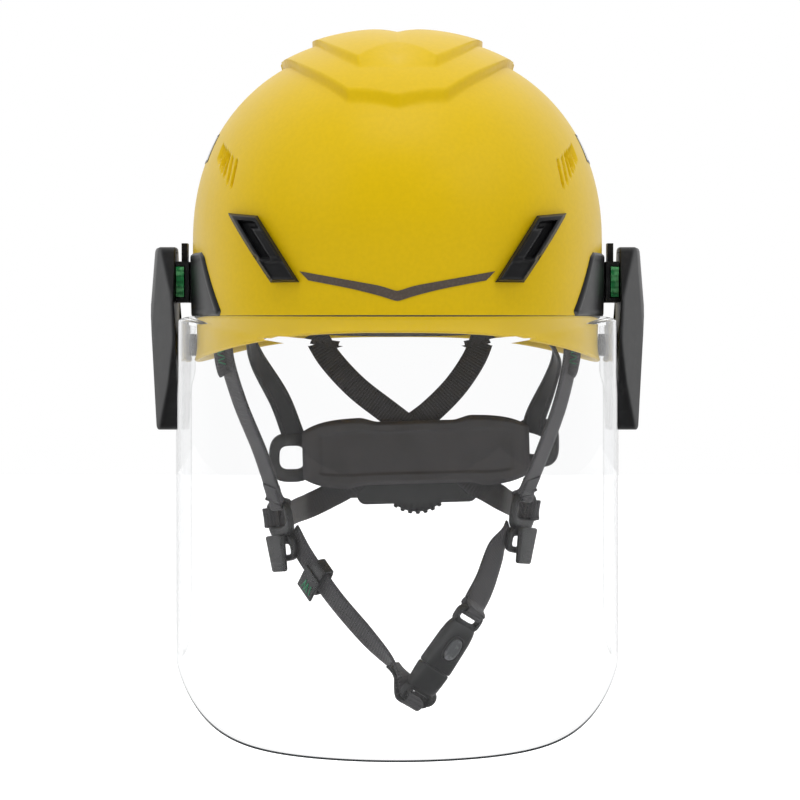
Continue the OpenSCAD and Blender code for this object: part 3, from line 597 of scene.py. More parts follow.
def lens_mat(name="lens_clear", edge=False):
    m = bpy.data.materials.new(name)
    m.use_nodes = True
    nt = m.node_tree
    b = nt.nodes["Principled BSDF"]
    out = nt.nodes["Material Output"]
    lw = nt.nodes.new("ShaderNodeLayerWeight")
    lw.inputs["Blend"].default_value = 0.5
    # painted shade: the base colour falls from near white to dark grey toward grazing angles, standing in for the dark
    # surroundings refracted at the lens rim
    if edge:
        # painted shade: the lens edge faces are painted dark grey, standing in for the dark lines that refraction shows
        # along the rim
        painted_rim_shade = ramp(nt, lw.outputs["Facing"], [(0.0, (0.07, 0.075, 0.08)), (1.0, (0.03, 0.033, 0.036))])
    else:
        painted_rim_shade = ramp(nt, lw.outputs["Facing"], [(0.0, (0.985, 0.987, 0.99)), (0.72, (0.96, 0.965, 0.97)), (0.93, (0.62, 0.64, 0.66)), (1.0, (0.3, 0.32, 0.34))])
    nt.links.new(painted_rim_shade.outputs["Color"], b.inputs["Base Color"])
    b.inputs["Transmission Weight"].default_value = 0.45 if edge else 1.0
    b.inputs["IOR"].default_value = 1.3
    b.inputs["Specular IOR Level"].default_value = 0.22
    tc = coords(nt)
    n1 = nd(nt, "ShaderNodeTexNoise", Scale=30.0, Detail=5.0, Distortion=1.2)
    nt.links.new(tc.outputs["Object"], n1.inputs["Vector"])
    nt.links.new(rough_map(nt, n1.outputs["Fac"], 0.0, 0.012 if not edge else 0.2), b.inputs["Roughness"])
    tr = nd(nt, "ShaderNodeBsdfTransparent")
    tr.inputs["Color"].default_value = (0.96, 0.965, 0.97, 1)
    lp = nt.nodes.new("ShaderNodeLightPath")
    mix = nt.nodes.new("ShaderNodeMixShader")
    mx = nd(nt, "ShaderNodeMath", operation="MAXIMUM")
    nt.links.new(lp.outputs["Is Shadow Ray"], mx.inputs[0])
    nt.links.new(lp.outputs["Is Diffuse Ray"], mx.inputs[1])
    nt.links.new(mx.outputs[0], mix.inputs["Fac"])
    nt.links.new(b.outputs[0], mix.inputs[1])
    nt.links.new(tr.outputs[0], mix.inputs[2])
    nt.links.new(mix.outputs[0], out.inputs["Surface"])
    return m


YEL = shell_paint()
BLK = moulded("black_plastic", (0.0105, 0.0108, 0.0118), (0.0128, 0.013, 0.0142), rough=(0.4, 0.48), cloud=18, spec=0.4, wear=(0.018, 0.018, 0.019))
BLK_SATIN = moulded("black_satin", (0.0105, 0.0108, 0.0118), (0.0128, 0.013, 0.0142), rough=(0.34, 0.42), grain=2600, bump=0.03, cloud=18, spec=0.4)
BAND = moulded("band_plastic", (0.03, 0.03, 0.032), (0.037, 0.037, 0.039), rough=(0.42, 0.5), cloud=20, wear=(0.05, 0.05, 0.05))
PADM = moulded("pad_rubber", (0.05, 0.047, 0.05), (0.07, 0.066, 0.07), rough=(0.5, 0.68), grain=1200, bump=0.25, dist=0.0001)
GREEN = moulded("green_plastic", (0.004, 0.2, 0.045), (0.01, 0.27, 0.07), rough=(0.3, 0.42), wear=(0.1, 0.4, 0.15))
GREY = moulded("grey_plastic", (0.07, 0.075, 0.08), (0.1, 0.105, 0.11), rough=(0.35, 0.5), wear=(0.2, 0.2, 0.21))
WEB = webbing_mat("webbing_charcoal", (0.019, 0.0185, 0.02), (0.058, 0.055, 0.06), pitch=1.7)
WEB2 = webbing_mat("webbing_inner", (0.03, 0.029, 0.03), (0.1, 0.096, 0.1), pitch=1.9)
GREENT = moulded("green_thread", (0.006, 0.16, 0.07), (0.03, 0.3, 0.14), rough=(0.6, 0.8), grain=3000, bump=0.5, dist=0.0002)
CLOTH = cloth_mat("pad_cloth", (0.01, 0.01, 0.011), (0.04, 0.04, 0.042))
CAPR = moulded("cap_rubber", (0.008, 0.008, 0.009), (0.014, 0.014, 0.015), rough=(0.5, 0.65), bump=0.2)
STEEL = steel_mat("steel", (0.45, 0.45, 0.47), (0.62, 0.62, 0.64))
REFL = reflective_mat()
FILM = moulded("marker_film", (0.62, 0.62, 0.6), (0.7, 0.7, 0.68), rough=(0.3, 0.4))
FILM_EDGE = moulded("marker_edge", (0.04, 0.04, 0.042), (0.06, 0.06, 0.062), rough=(0.35, 0.45))
ACETAL = moulded("natural_acetal", (0.5, 0.49, 0.45), (0.58, 0.57, 0.53), rough=(0.35, 0.5))
LENS = lens_mat()
# lens rim material: clear lens painted dark along its edges
LENS_EDGE_PAINTED_DARK = lens_mat("lens_edge_painted_dark", True)


def keep(node, material, bevel=0.0004):
    o = NODES[node]
    o.data.materials.clear() if False else None
    for s in o.material_slots:
        s.material = material
    if not o.material_slots:
        o.data.materials.append(material)
    if bevel:
        b = o.modifiers.new("edge", "BEVEL")
        b.width = bevel
        b.segments = 2
        b.limit_method = "ANGLE"
        b.angle_limit = math.radians(35)
        b.use_clamp_overlap = True
        b.harden_normals = False
    return o


# ------------------------------------------------------------------ shell
# blind slots low on the front sides, as (top x, top z, bottom x, bottom z) on the right side, in mm
SLOTS = [(83.8, 95.6, 86.4, 83.0), (86.4, 97.2, 88.5, 85.6), (88.0, 99.3, 90.6, 89.1), (89.1, 100.9, 91.9, 91.9),
         (90.4, 102.2, 92.7, 94.0), (91.4, 103.2, 93.8, 97.2), (92.2, 104.8, 94.3, 98.8)]


def slot_depth(x, z):
    d = np.zeros_like(x)
    for x0, z0, x1, z1 in SLOTS:
        px, pz = (np.abs(x) - x0) * 2.2, z - z0
        qx, qz = (x1 - x0) * 2.2, z1 - z0
        t = np.clip((px * qx + pz * qz) / (qx * qx + qz * qz), 0, 1)
        dd = np.hypot(px - t * qx, pz - t * qz)
        d = np.maximum(d, sstep(1.55, 0.75, dd))
    return d


def build_shell():
    # azimuth samples, closer together round the slots and lamp clips
    a = np.linspace(0, 2 * np.pi, 4001)[:-1]
    dens = 1 + 3.2 * np.exp(-((np.degrees(a) - 327) / 9) ** 2) + 3.2 * np.exp(-((np.degrees(a) - 213) / 9) ** 2)
    cdf = np.concatenate([[0], np.cumsum(dens)])
    cdf /= cdf[-1]
    na = 640
    az = np.interp(np.arange(na) / na, cdf, np.append(a, 2 * np.pi))
    ca, sa = np.cos(az), np.sin(az)
    L = np.where(sa < 0, LF, LB)
    cx, cy = sp(ca, 2 / NP), sp(sa, 2 / NP)
    rz = rim_z(ca, sa)

    def wall(v, off):
        z = rz + (Z0 - rz) * v
        k = 1 - 0.01 * ((Z0 - z) / Z0) ** 2 + 0.018 * np.exp(-(z - rz) / 4)
        return np.stack([(W + off) * k * cx, (L + off) * k * cy, z], -1)

    def dome(t, off):
        c, s = math.cos(t) ** (2 / NE), math.sin(t) ** (2 / NE)
        return np.stack([(W + off) * c * cx, (L + off) * c * cy, np.full(na, Z0 + (H + off) * s)], -1)

    vs = np.concatenate([[0, 0.012, 0.03, 0.06], np.linspace(0.1, 1, 26)])
    ts = np.radians(np.concatenate([np.linspace(2, 86, 150), [87.2, 88.2, 89, 89.6]]))
    O = np.array([wall(v, 0) for v in vs] + [dome(t, 0) for t in ts])
    n = np.stack([O[..., 0] / W ** 2, O[..., 1] / L[None, :] ** 2, np.maximum(O[..., 2] - Z0, 0) / H ** 2], -1)
    n /= np.linalg.norm(n, axis=-1)[..., None]
    d = crown(O[..., 0], O[..., 1])
    d[:len(vs)] = 0
    g = np.where(O[..., 1] < 0, slot_depth(O[..., 0], O[..., 2]), 0)
    O = O + n * (d - 2.1 * g)[..., None]
    vi = np.concatenate([[0, 0.012, 0.03], np.linspace(0.1, 1, 12)])
    ti = np.radians(np.concatenate([np.linspace(4, 86, 34), [88, 89.4]]))
    I = np.array([wall(v, -T_SHELL) for v in vi] + [dome(t, -T_SHELL) for t in ti])
    # rounded rim between skin and lining
    mid = (O[0] + I[0]) / 2
    ring1 = O[0] * 0.8 + I[0] * 0.2
    ring2 = O[0] * 0.2 + I[0] * 0.8
    ring1[:, 2] -= 0.75
    ring2[:, 2] -= 0.75
    mid[:, 2] -= 1.05
    rows = [r for r in O[::-1]] + [ring1, mid, ring2] + [r for r in I]
    V = np.concatenate(rows)
    m = len(rows)
    base = np.arange(na)
    nx = (base + 1) % na
    F = []
    for j in range(m - 1):
        a0, b0 = j * na + base, j * na + nx
        F += np.stack([a0, a0 + na, b0 + na, b0], -1).tolist()
    top, bot = len(V), len(V) + 1
    V = np.concatenate([V, [[0, 0, Z0 + H + TIER1 + TIER2 - 2]], [[0, 0, Z0 + H - T_SHELL]]])
    F += [[top, i, (i + 1) % na] for i in range(na)]
    k = (m - 1) * na
    F += [[bot, k + (i + 1) % na, k + i] for i in range(na)]
    return obj("helmet_shell", V, F, YEL, "shell", ("shell",), 60)


build_shell()


def front_patch(G, lo, hi):
    """G: grid of (x, z); lo/hi: offsets from the skin, hi may be a grid"""
    G = np.asarray(G, float)
    hi = np.broadcast_to(np.asarray(hi, float), G.shape[:2])
    A = np.stack([G[..., 0], fy(G[..., 0], G[..., 1], hi), G[..., 1]], -1)
    B = np.stack([G[..., 0], fy(G[..., 0], G[..., 1], lo), G[..., 1]], -1)
    return slab(A, B)


def strip_grid():
    u = np.linspace(-1, 1, 81)
    rows = []
    for k in np.linspace(0, 1, 6):
        x = u * (50 - 4.6 * k)
        zt = 28.6 + 9.0 * np.abs(u) ** 1.05 - 1.2 * np.exp(-(u / 0.12) ** 2) * (1 - 0.4 * k)
        th = 5.6 * (0.72 + 0.28 * np.exp(-(u / 0.35) ** 2) + 0.12 * np.abs(u))
        rows.append(np.stack([x, zt - th * k], -1))
    return np.array(rows)


V, F = front_patch(strip_grid(), 0.02, 0.36)
obj("front_strip", V, F, REFL, "shell", ("front_reflective_strip",), 50)


def side_marker(sd, name, node):
    V0, F0, idx = [], [], []
    ni, nj = 40, 12
    A = np.zeros((nj + 1, ni + 1, 3))
    B = np.zeros_like(A)
    for j in range(nj + 1):
        for i in range(ni + 1):
            z = 98 + 15 * j / nj
            y = -34 + 68 * i / ni + 0.25 * (z - 98)
            A[j, i] = (sd * float(sx(y, z, 0.3)), y, z)
            B[j, i] = (sd * float(sx(y, z, -0.1)), y, z)
    V, F = slab(A, B) if sd > 0 else slab(B, A)
    o = obj(name, V, F, [FILM, FILM_EDGE], "shell", (node,), 50)
    me = o.data
    for p in me.polygons:
        c = p.center / M
        e = min(c.y + 34 - 0.25 * (c.z - 98), 34 - c.y + 0.25 * (c.z - 98), (c.z - 98) * 1.2, (113 - c.z) * 1.2)
        p.material_index = 1 if e < 1.7 else 0
    return o


side_marker(-1, "side_marker_l", "side_marker_left")
side_marker(1, "side_marker_r", "side_marker_right")


# ------------------------------------------------------------------ lamp clips
def clip_uv(u, v):
    xl, xr = -88 + 23 * u ** 1.1, -72 + 22 * u
    zl, zr = 68.5 - 36.5 * u, 66.5 - 34.5 * u
    return xl + (xr - xl) * v, zl + (zr - zl) * v


def clip_height(u, v):
    e = min(u, 1 - u) * 42
    w = min(v, 1 - v) * 16
    h = 1.0 + 3.4 * float(sstep(0, 1.8, min(e, w)))
    # long slot beside the bar, turning along the top
    slot = float(sstep(0.09, 0.13, u) * sstep(0.68, 0.63, u) * sstep(0.2, 0.27, v) * sstep(0.56, 0.49, v))
    head = float(sstep(0.09, 0.13, u) * sstep(0.22, 0.18, u) * sstep(0.2, 0.27, v) * sstep(0.8, 0.73, v))
    h -= 3.3 * max(slot, head)
    # bar end and the wider foot
    h += 0.9 * float(sstep(0.2, 0.25, u) * sstep(0.66, 0.6, u) * sstep(0.5, 0.57, v) * sstep(0.86, 0.8, v))
    h -= 0.9 * float(sstep(0.68, 0.74, u) * sstep(0.97, 0.92, u) * sstep(0.12, 0.2, v) * sstep(0.9, 0.82, v))
    h -= 2.2 * float(sstep(0.6, 0.63, u) * sstep(0.69, 0.66, u) * sstep(0.16, 0.08, v))
    return h


def lamp_clip(name, node, sd):
    nu, nv = 84, 36
    G = np.array([[clip_uv(j / nu, i / nv) for i in range(nv + 1)] for j in range(nu + 1)])
    Hh = np.array([[clip_height(j / nu, i / nv) for i in range(nv + 1)] for j in range(nu + 1)])
    V, F = front_patch(G, 0.02, Hh)
    if sd > 0:
        V = mirror_x(V)
    return obj(name, V, F, BLK, "shell", (node,), 40)


lamp_clip("lamp_clip_l", "lamp_clip_front_left", -1)
lamp_clip("lamp_clip_r", "lamp_clip_front_right", 1)


def rear_clip(name, node, sd):
    n = 28
    A, B = np.zeros((n + 1, n + 1, 3)), np.zeros((n + 1, n + 1, 3))
    for j in range(n + 1):
        for i in range(n + 1):
            a, z = 44 + 12 * i / n, 34 + 28 * j / n
            e = min(min(i, n - i) / n * 24, min(j, n - j) / n * 28)
            h = 0.9 + 1.2 * float(sstep(0, 1, e)) + 3.1 * float(sstep(3.6, 5.2, e)) - 1.6 * float(sstep(7.2, 8.4, e))
            A[j, i], B[j, i] = skin(a, z, h), skin(a, z, -0.1)
    V, F = slab(A, B)
    if sd < 0:
        V = mirror_x(V)
    return obj(name, V, F, BLK, "shell", (node,), 40)


rear_clip("rear_clip_l", "lamp_clip_rear_left", -1)
rear_clip("rear_clip_r", "lamp_clip_rear_right", 1)


# ------------------------------------------------------------------ slot adapters
def adapter(name, node, sd):
    ni, nj = 100, 40
    A, B = np.zeros((nj + 1, ni + 1, 3)), np.zeros((nj + 1, ni + 1, 3))
    for j in range(nj + 1):
        for i in range(ni + 1):
            u, w = i / ni, j / nj
            z = 15 + 34 * w
            ya = -84 + 0.73 * (z - 15)
            # rounded corners at the front
            ya += 3.5 * (float(sstep(0.12, 0, w)) ** 2 + float(sstep(0.9, 1, w)) ** 2)
            y = ya + (15 - ya) * u
            e = min((y - ya) * 0.8, 15 - y, w * 34, (1 - w) * 34)
            h = 0.3 + 1.15 * float(sstep(0, 1.2, e))
            # sunk field with a step ahead of the arm
            h -= 0.55 * float(sstep(3.2, 4.0, e) * sstep(-26, -30, y))
            A[j, i] = (sd * float(sx(y, z, h)), y, z)
            B[j, i] = (sd * float(sx(y, z, 0.02)), y, z)
    V, F = slab(A, B) if sd > 0 else slab(B, A)
    return obj(name, V, F, BLK_SATIN, "shell", (node,), 40)


adapter("adapter_l", "slot_adapter_left", -1)
adapter("adapter_r", "slot_adapter_right", 1)

for s in ("left", "right"):
    keep("pivot_block_" + s, BLK, 0.0005)
    keep("release_tab_" + s, GREEN, 0.0004)
    keep("arm_plate_" + s, BLK, 0.0006)
keep("pivot_pins", STEEL, 0.0002)
keep("lens_screws", STEEL, 0.0002)
keep("lens_spacers", BLK, 0.0003)
keep("lens_nuts", BLK, 0.0002)


# ------------------------------------------------------------------ arm covers
def arm_top(y, z):
    return min(float(np.interp(z, [-48, 19, 61], [130.9, 134.6, 131.92])), 134.6 + 0.44 * min(0.0, y))


def arm_cover(name, node, sd):
    outer = [(-15, 53), (13, 53), (26, 31), (27, 5), (22, -19), (11, -46), (-13, -46), (-26, -21), (-33, 2), (-30, 27)]
    inner = [(-13.4, 50.4), (11.4, 50.4), (22.5, 30.1), (23.4, 5), (18.4, -18.2), (9.3, -43.4), (-10.3, -43.4), (-15.4, -20.1), (-16.4, 2), (-15.4, 26.2)]
    ro = round_poly(outer, 4.0, 6)
    ri = round_poly(inner, 2.0, 6)
    cy, cz = -2.0, 4.0
    rings = []

    def lower(z):
        return 118.5 + 1.55 * float(sstep(8.5, 10.5, z))

    def at(poly, s, f):
        out = []
        for y, z in poly:
            yy, zz = cy + (y - cy) * s, cz + (z - cz) * s
            out.append((f(yy, zz), yy, zz))
        return out

    rings.append(at(ri, 0.02, lambda y, z: 125.1))
    rings.append(at(ri, 1.0, lambda y, z: 125.1))
    rings.append(at(ri, 1.0, lambda y, z: lower(z)))
    rings.append(at(ro, 0.985, lambda y, z: lower(z)))
    rings.append(at(ro, 1.0, lambda y, z: lower(z) + 0.5))
    rings.append(at(ro, 1.0, lambda y, z: max(lower(z) + 0.7, arm_top(y, z) - 1.3)))
    rings.append(at(ro, 0.994, lambda y, z: max(lower(z) + 0.9, arm_top(y, z) - 0.7)))
    rings.append(at(ro, 0.978, lambda y, z: max(lower(z) + 1.1, arm_top(y, z) - 0.25)))
    rings.append(at(ro, 0.955, lambda y, z: max(lower(z) + 1.3, arm_top(y, z) - 0.02)))
    for s_ in (0.9, 0.82, 0.72, 0.6, 0.48, 0.36, 0.24, 0.12, 0.02):
        rings.append(at(ro, s_, lambda y, z: arm_top(y, z)))
    V, F = rings_closed(rings, False, True)
    if sd < 0:
        V = mirror_x(V)
    return obj(name, V, F, BLK, "visor", (node,), 26)


arm_cover("arm_cover_l", "arm_cover_left", -1)
arm_cover("arm_cover_r", "arm_cover_right", 1)

# ------------------------------------------------------------------ lens
LHW, LT, LFR, LBOT = 118.0, 2.2, 166.0, -209.0


def lens_plan(s):
    m, sg, y1 = abs(s), (-1 if s < 0 else 1), -34.0
    if m > 0.72:
        return sg * LHW, y1 + (16 - y1) * (m - 0.72) / 0.28, sg, 0.0
    a = math.radians(90 * m / 0.72)
    ex = 2 / 2.35
    x, y = LHW * math.sin(a) ** ex, -(LFR + y1) * math.cos(a) ** ex + y1
    nx, ny = math.sin(a) ** (2 - ex) / LHW, -math.cos(a) ** (2 - ex) / (LFR + y1)
    q = math.hypot(nx, ny)
    return sg * x, y, sg * nx / q, ny / q


def lens_zb(x, y):
    k = abs(x) / LHW
    return LBOT + 43 + 8 * ((y + 34) / 50) ** 2 if y > -34 else LBOT + 9 * k ** 1.9 + 34 * k ** 7


def lens_zt(y):
    return 10.5 + 4.5 * float(sstep(-20, -110, y))


def build_lens():
    ns = 150
    S = np.linspace(-1, 1, 2 * ns + 1)
    K = [0.0, 0.004] + list(np.linspace(0.02, 0.78, 40)) + [0.79, 0.8, 0.83, 0.87, 0.91, 0.95, 0.98, 0.99, 1.0]

    def row(k, off):
        out = []
        for s in S:
            x, y, nx, ny = lens_plan(s)
            w = -ny
            zt = lens_zt(y)
            zk = zt - 16 * w * w
            zb = lens_zb(x, y)
            # rear corner rounding
            if y > -4:
                zb += 20 * ((y + 4) / 20) ** 3
            z = zb + (zk - 1 - zb) * k / 0.79 if k < 0.8 else zk + (zt - zk) * (k - 0.8) / 0.2
            ins = 0 if k < 0.8 else 12.5 * w * w * (k - 0.8) / 0.2
            jg = 2.5 * float(sstep(-24, -14, z) * sstep(0.6, 0.72, abs(s)))
            o = off + ins + jg
            if k == 0.0:                     # eased lower corner
                o += 0.55 if off == 0 else -0.3
            out.append((x - nx * o, y - ny * o, z))
        return out

    A = np.array([row(k, 0) for k in K])
    B = np.array([row(k, LT) for k in K])
    V, F = slab(A, B)
    nj, ni = A.shape[:2]
    nmain = (nj - 1) * (ni - 1) * 2
    # the edge faces and the top and bottom rows of the lens take the painted dark rim material
    idx = np.zeros(len(F), int)
    idx[nmain:] = 1
    row_ = 2 * (ni - 1)
    idx[:row_] = 1
    idx[nmain - row_:nmain] = 1
    return obj("face_shield", V, F, [LENS, LENS_EDGE_PAINTED_DARK], "visor", ("visor_lens",), 50, mat_idx=idx)


build_lens()

# ------------------------------------------------------------------ inner harness
keep("strap_anchors", BLK, 0.0006)
keep("headband_hangers", BAND, 0.0003)
keep("headband_rivets", STEEL, 0.0002)
keep("headband", BAND, 0.0004)


def crown_strap(name, node, sg):
    up = 3 if sg < 0 else 0
    P = [[-86.5, -60 * sg, 39.2], [-75, -54 * sg, 66], [-56, -43 * sg, 97], [-32, -25 * sg, 121 + 0.7 * up], [0, 0, 131 + up],
         [32, 25 * sg, 121 + 0.7 * up], [56, 43 * sg, 97], [75, 54 * sg, 66], [86.5, 60 * sg, 39.2]]
    return webbing(name, P, [[-0.61 * sg, 0.79, 0]] * 9, 22, 1.4, WEB2, "shell", (node,), 10)


crown_strap("crown_strap_1", "crown_strap_a", 1)
crown_strap("crown_strap_2", "crown_strap_b", -1)


def puff(ob, seconds=20, cap=1.5, voxel=0.0028, pressure=4.0):
    """turn a closed form into a padded one: voxel remesh, pressure cloth, capped, smoothed"""
    bpy.context.view_layer.objects.active = ob
    rm = ob.modifiers.new("rm", "REMESH")
    rm.mode = "VOXEL"
    rm.voxel_size = voxel
    rm.use_smooth_shade = True
    bpy.context.view_layer.update()
    dg = bpy.context.evaluated_depsgraph_get()
    me = bpy.data.meshes.new_from_object(ob.evaluated_get(dg))
    ob.modifiers.clear()
    old = ob.data
    for m in old.materials:
        if m.name not in [q.name for q in me.materials if q]:
            me.materials.append(m)
    ob.data = me
    rest = np.array([v.co[:] for v in me.vertices])
    sc = bpy.context.scene
    sc.frame_start, sc.frame_end = 1, 20
    cl = ob.modifiers.new("cloth", "CLOTH")
    cl.settings.use_pressure = True
    cl.settings.uniform_pressure_force = pressure
    cl.settings.effector_weights.gravity = 0
    cl.settings.quality = 5
    cl.point_cache.frame_start, cl.point_cache.frame_end = 1, 20
    for f in range(1, 21):
        sc.frame_set(f)
    dg = bpy.context.evaluated_depsgraph_get()
    ev = ob.evaluated_get(dg).data
    pos = np.array([v.co[:] for v in ev.vertices])
    ob.modifiers.clear()
    if len(pos) == len(rest):
        d = pos - rest
        ln = np.linalg.norm(d, axis=1)
        k = np.minimum(1, cap * M / np.maximum(ln, 1e-9))
        me.vertices.foreach_set("co", (rest + d * k[:, None]).ravel())
        me.update()
    sc.frame_set(1)
    su = ob.modifiers.new("smooth", "SMOOTH")
    su.iterations = 3
    ss = ob.modifiers.new("sub", "SUBSURF")
    ss.levels = ss.render_levels = 1
    for p in me.polygons:
        p.use_smooth = True
    return ob


def band_pt(a, z, off):
    c, s = math.cos(math.radians(a)), math.sin(math.radians(a))
    return np.array([(78 + off) * float(sp(c, 0.95)), (99 + off) * float(sp(s, 0.95)) + 4, z])


# brow pad: foam wrapped in knit
ni, nj = 90, 10
A = np.array([[band_pt(203 + 134 * i / ni, 4.4 + 29 * j / nj, -0.9) for i in range(ni + 1)] for j in range(nj + 1)])
B = np.array([[band_pt(203 + 134 * i / ni, 4.4 + 29 * j / nj, -5.4) for i in range(ni + 1)] for j in range(nj + 1)])
V, F = slab(A, B)
brow = obj("brow_cushion", V, F, CLOTH, "shell", ("brow_pad",))
puff(brow, cap=1.0)

R = np.linspace(6.2, 32.6, 12)
A = np.array([[(r * math.cos(a), r * math.sin(a), 128.8 - 0.0062 * r * r) for a in np.linspace(0, 2 * np.pi, 65)[:-1]] for r in R])
B = np.array([[(r * math.cos(a), r * math.sin(a), 125.8 - 0.0062 * r * r) for a in np.linspace(0, 2 * np.pi, 65)[:-1]] for r in R])
V, F = slab(A, B, True)
cp = obj("crown_cushion", V, F, CLOTH, "shell", ("crown_pad",))
puff(cp, cap=0.8)

# ------------------------------------------------------------------ nape cradle
NR = rot("Y", -1.6)
NDX = 9.0


def nape(V):
    return xf(xf(V, NR), None, (NDX, 0, 0))


def nape_arm(name, node, sd):
    if sd > 0:
        P = [[82.2, 22, 18], [83.1, 32, 8], [87.2, 43, 1], [90.2, 54, -8], [86.5, 66, -22], [79, 82, -41], [77.5, 87, -50]]
        D = [[0, 0.8, 0.55], [0, 0.8, 0.55], [-0.1, 0.8, 0.55], [-0.25, 0.75, 0.5], [-0.4, 0.65, 0.5], [-0.75, 0.4, 0.4], [-0.9, 0.2, 0.35]]
        lx, lz = 80.0, -55.5
    else:
        P = [[-82.2, 22, 18], [-83, 36, 6], [-79.5, 54, -8], [-67, 72, -31], [-59.5, 88, -52]]
        D = [[0, 0.8, 0.55], [0.1, 0.8, 0.55], [0.4, 0.65, 0.5], [0.75, 0.4, 0.4], [0.9, 0.2, 0.35]]
        lx, lz = -60.5, -64.0
    P, D = smooth_path(P, 12), smooth_path(D, 12)
    w, t = 6.5, 1.2
    prof = [(-w, 0.5), (-w + 1, t), (-w + 2.2, t), (-w + 2.8, 0.7), (w - 2.8, 0.7), (w - 2.2, t), (w - 1, t), (w, 0.5),
            (w, -0.5), (w - 1, -t), (w - 2.2, -t), (w - 2.8, -0.7), (-w + 2.8, -0.7), (-w + 2.2, -t), (-w + 1, -t), (-w, -0.5)]
    V, F, UV = tube(P, D, prof)
    parts = [(V, F)]
    # eye round the rivet
    Vl, Fl = lathe([(3.05, -1.25), (7.4, -1.25), (8.0, -0.7), (8.0, 0.7), (7.4, 1.25), (3.05, 1.25)], 48)
    Vl = xf(Vl, rot("Y", 90), (sd * 82.3, 22, 18))
    parts.append((Vl, Fl))
    # end loop: a rounded plate with a window
    Vr, Fr = ring_plate((0, 0, 14, 14, 2.9), (0, 0, 8, 6.6, 3.4), 3.2, 0.8)
    Vr = xf(Vr, rot("Z", -sd * 24), (lx, 87, lz))
    parts.append((Vr, Fr))
    V, F = join(parts)
    return obj(name, V, F, BAND, "nape", (node,), 35)


nape_arm("nape_arm_l", "nape_arm_left", -1)
nape_arm("nape_arm_r", "nape_arm_right", 1)


def nape_pad():
    nu, nv = 120, 44
    A, B = np.zeros((nv + 1, nu + 1, 3)), np.zeros((nv + 1, nu + 1, 3))
    for j in range(nv + 1):
        for i in range(nu + 1):
            u, w = 2 * i / nu - 1, 2 * j / nv - 1
            pz = 1 - abs(u) ** 6 * 0.35
            x = u * 65
            # centre of the top edge dips, centre of the bottom edge steps up
            zz = w * 20.4 * pz
            zz -= 2.6 * float(sstep(0.5, 0.32, abs(u))) * max(0, w) ** 3
            zz += 2.2 * float(sstep(0.62, 0.45, abs(u))) * max(0, -w) ** 3
            e = min((1 - abs(u)) * 65, (1 - abs(w)) * 20.4)
            yb = 95 - 10 * u * u - 0.4
            yf = 90.5 - 10 * u * u + 2.2 * float(sstep(2.8, 0, e))
            # inset panel with a raised lip
            panel = float(sstep(0.86, 0.82, abs(u)) * sstep(0.66, 0.6, abs(w)))
            yf += 0.9 * panel
            lip = math.exp(-((abs(w) - 0.63) / 0.035) ** 2) * float(sstep(0.88, 0.84, abs(u)))
            yf -= 0.35 * lip
            A[j, i] = (x, yb, -61 + zz)
            B[j, i] = (x, yf, -61 + zz)
    V, F = slab(A, B)
    ob = obj("nape_cushion", nape(V), F, PADM, "nape", ("nape_pad",), 45)
    return ob


nape_pad()
keep("ratchet_housing", BLK_SATIN, 0.0007)
keep("ratchet_cover", BLK, 0.0005)
keep("rack_left", BAND, 0.0002)
keep("rack_right", BAND, 0.0002)
keep("ratchet_pinion", ACETAL, 0.0001)
keep("knob_screw", STEEL, 0.0002)


def knob():
    n = 360
    R0 = 22.5
    V, F = [], []
    prof = [(1.45, 0), (0.9, 0.0), (0.94, 0.35), (0.955, 2.6), (1.0, 3.3), (1.0, 11.6), (0.985, 12.3), (0.87, 12.6), (0.86, 13.8), (0.8, 14.15), (0.2, 14.15), (0.19, 13.6), (0.185, 11.05)]
    rows = []
    for k, (f, z) in enumerate(prof):
        row = []
        for i in range(n):
            a = 2 * math.pi * i / n
            if k == 0:
                r = 1.45
            elif f < 0.5:
                r = R0 * f
            else:
                rid = 0.5 + 0.5 * math.cos(30 * a)
                depth = 1.35 if 0.9 < f and z > 0.2 and z < 12.5 else 0.0
                flat = 0.0
                r = R0 * f - depth * float(sstep(0.35, 0.75, rid))
            row.append((r * math.cos(a), r * math.sin(a), z))
        rows.append(row)
    rows.append([(1.45 * math.cos(2 * math.pi * i / n), 1.45 * math.sin(2 * math.pi * i / n), 11.05) for i in range(n)])
    V = np.array([p for r in rows for p in r])
    m = len(rows)
    for j in range(m):
        for i in range(n):
            a, b = j * n + i, j * n + (i + 1) % n
            c, d = ((j + 1) % m) * n + (i + 1) % n, ((j + 1) % m) * n + i
            F.append((a, b, c, d))
    V = xf(V, rot("X", -90), (0, 112.6, -75))
    return obj("adjuster_knob", nape(V), F, BLK, "knob", ("ratchet_knob",), 30)


knob()

# ------------------------------------------------------------------ chin webbing
webbing("chin_front_l", [[-88, -60, 13.6], [-91, -54, -4], [-84.5, -42, -30], [-74, -25, -58], [-66.5, -9, -83]], [[0.45, -0.85, 0.1]] * 5, 15, 1.6, WEB, "shell", ("chin_strap_front_left",), 14)
webbing("chin_front_r", [[88, -60, 13.6], [92, -54, -4], [87.5, -42, -30], [79.2, -25, -56], [70.6, -9, -78.6]], [[-0.45, -0.85, 0.1]] * 5, 15, 1.6, WEB, "shell", ("chin_strap_front_right",), 14)

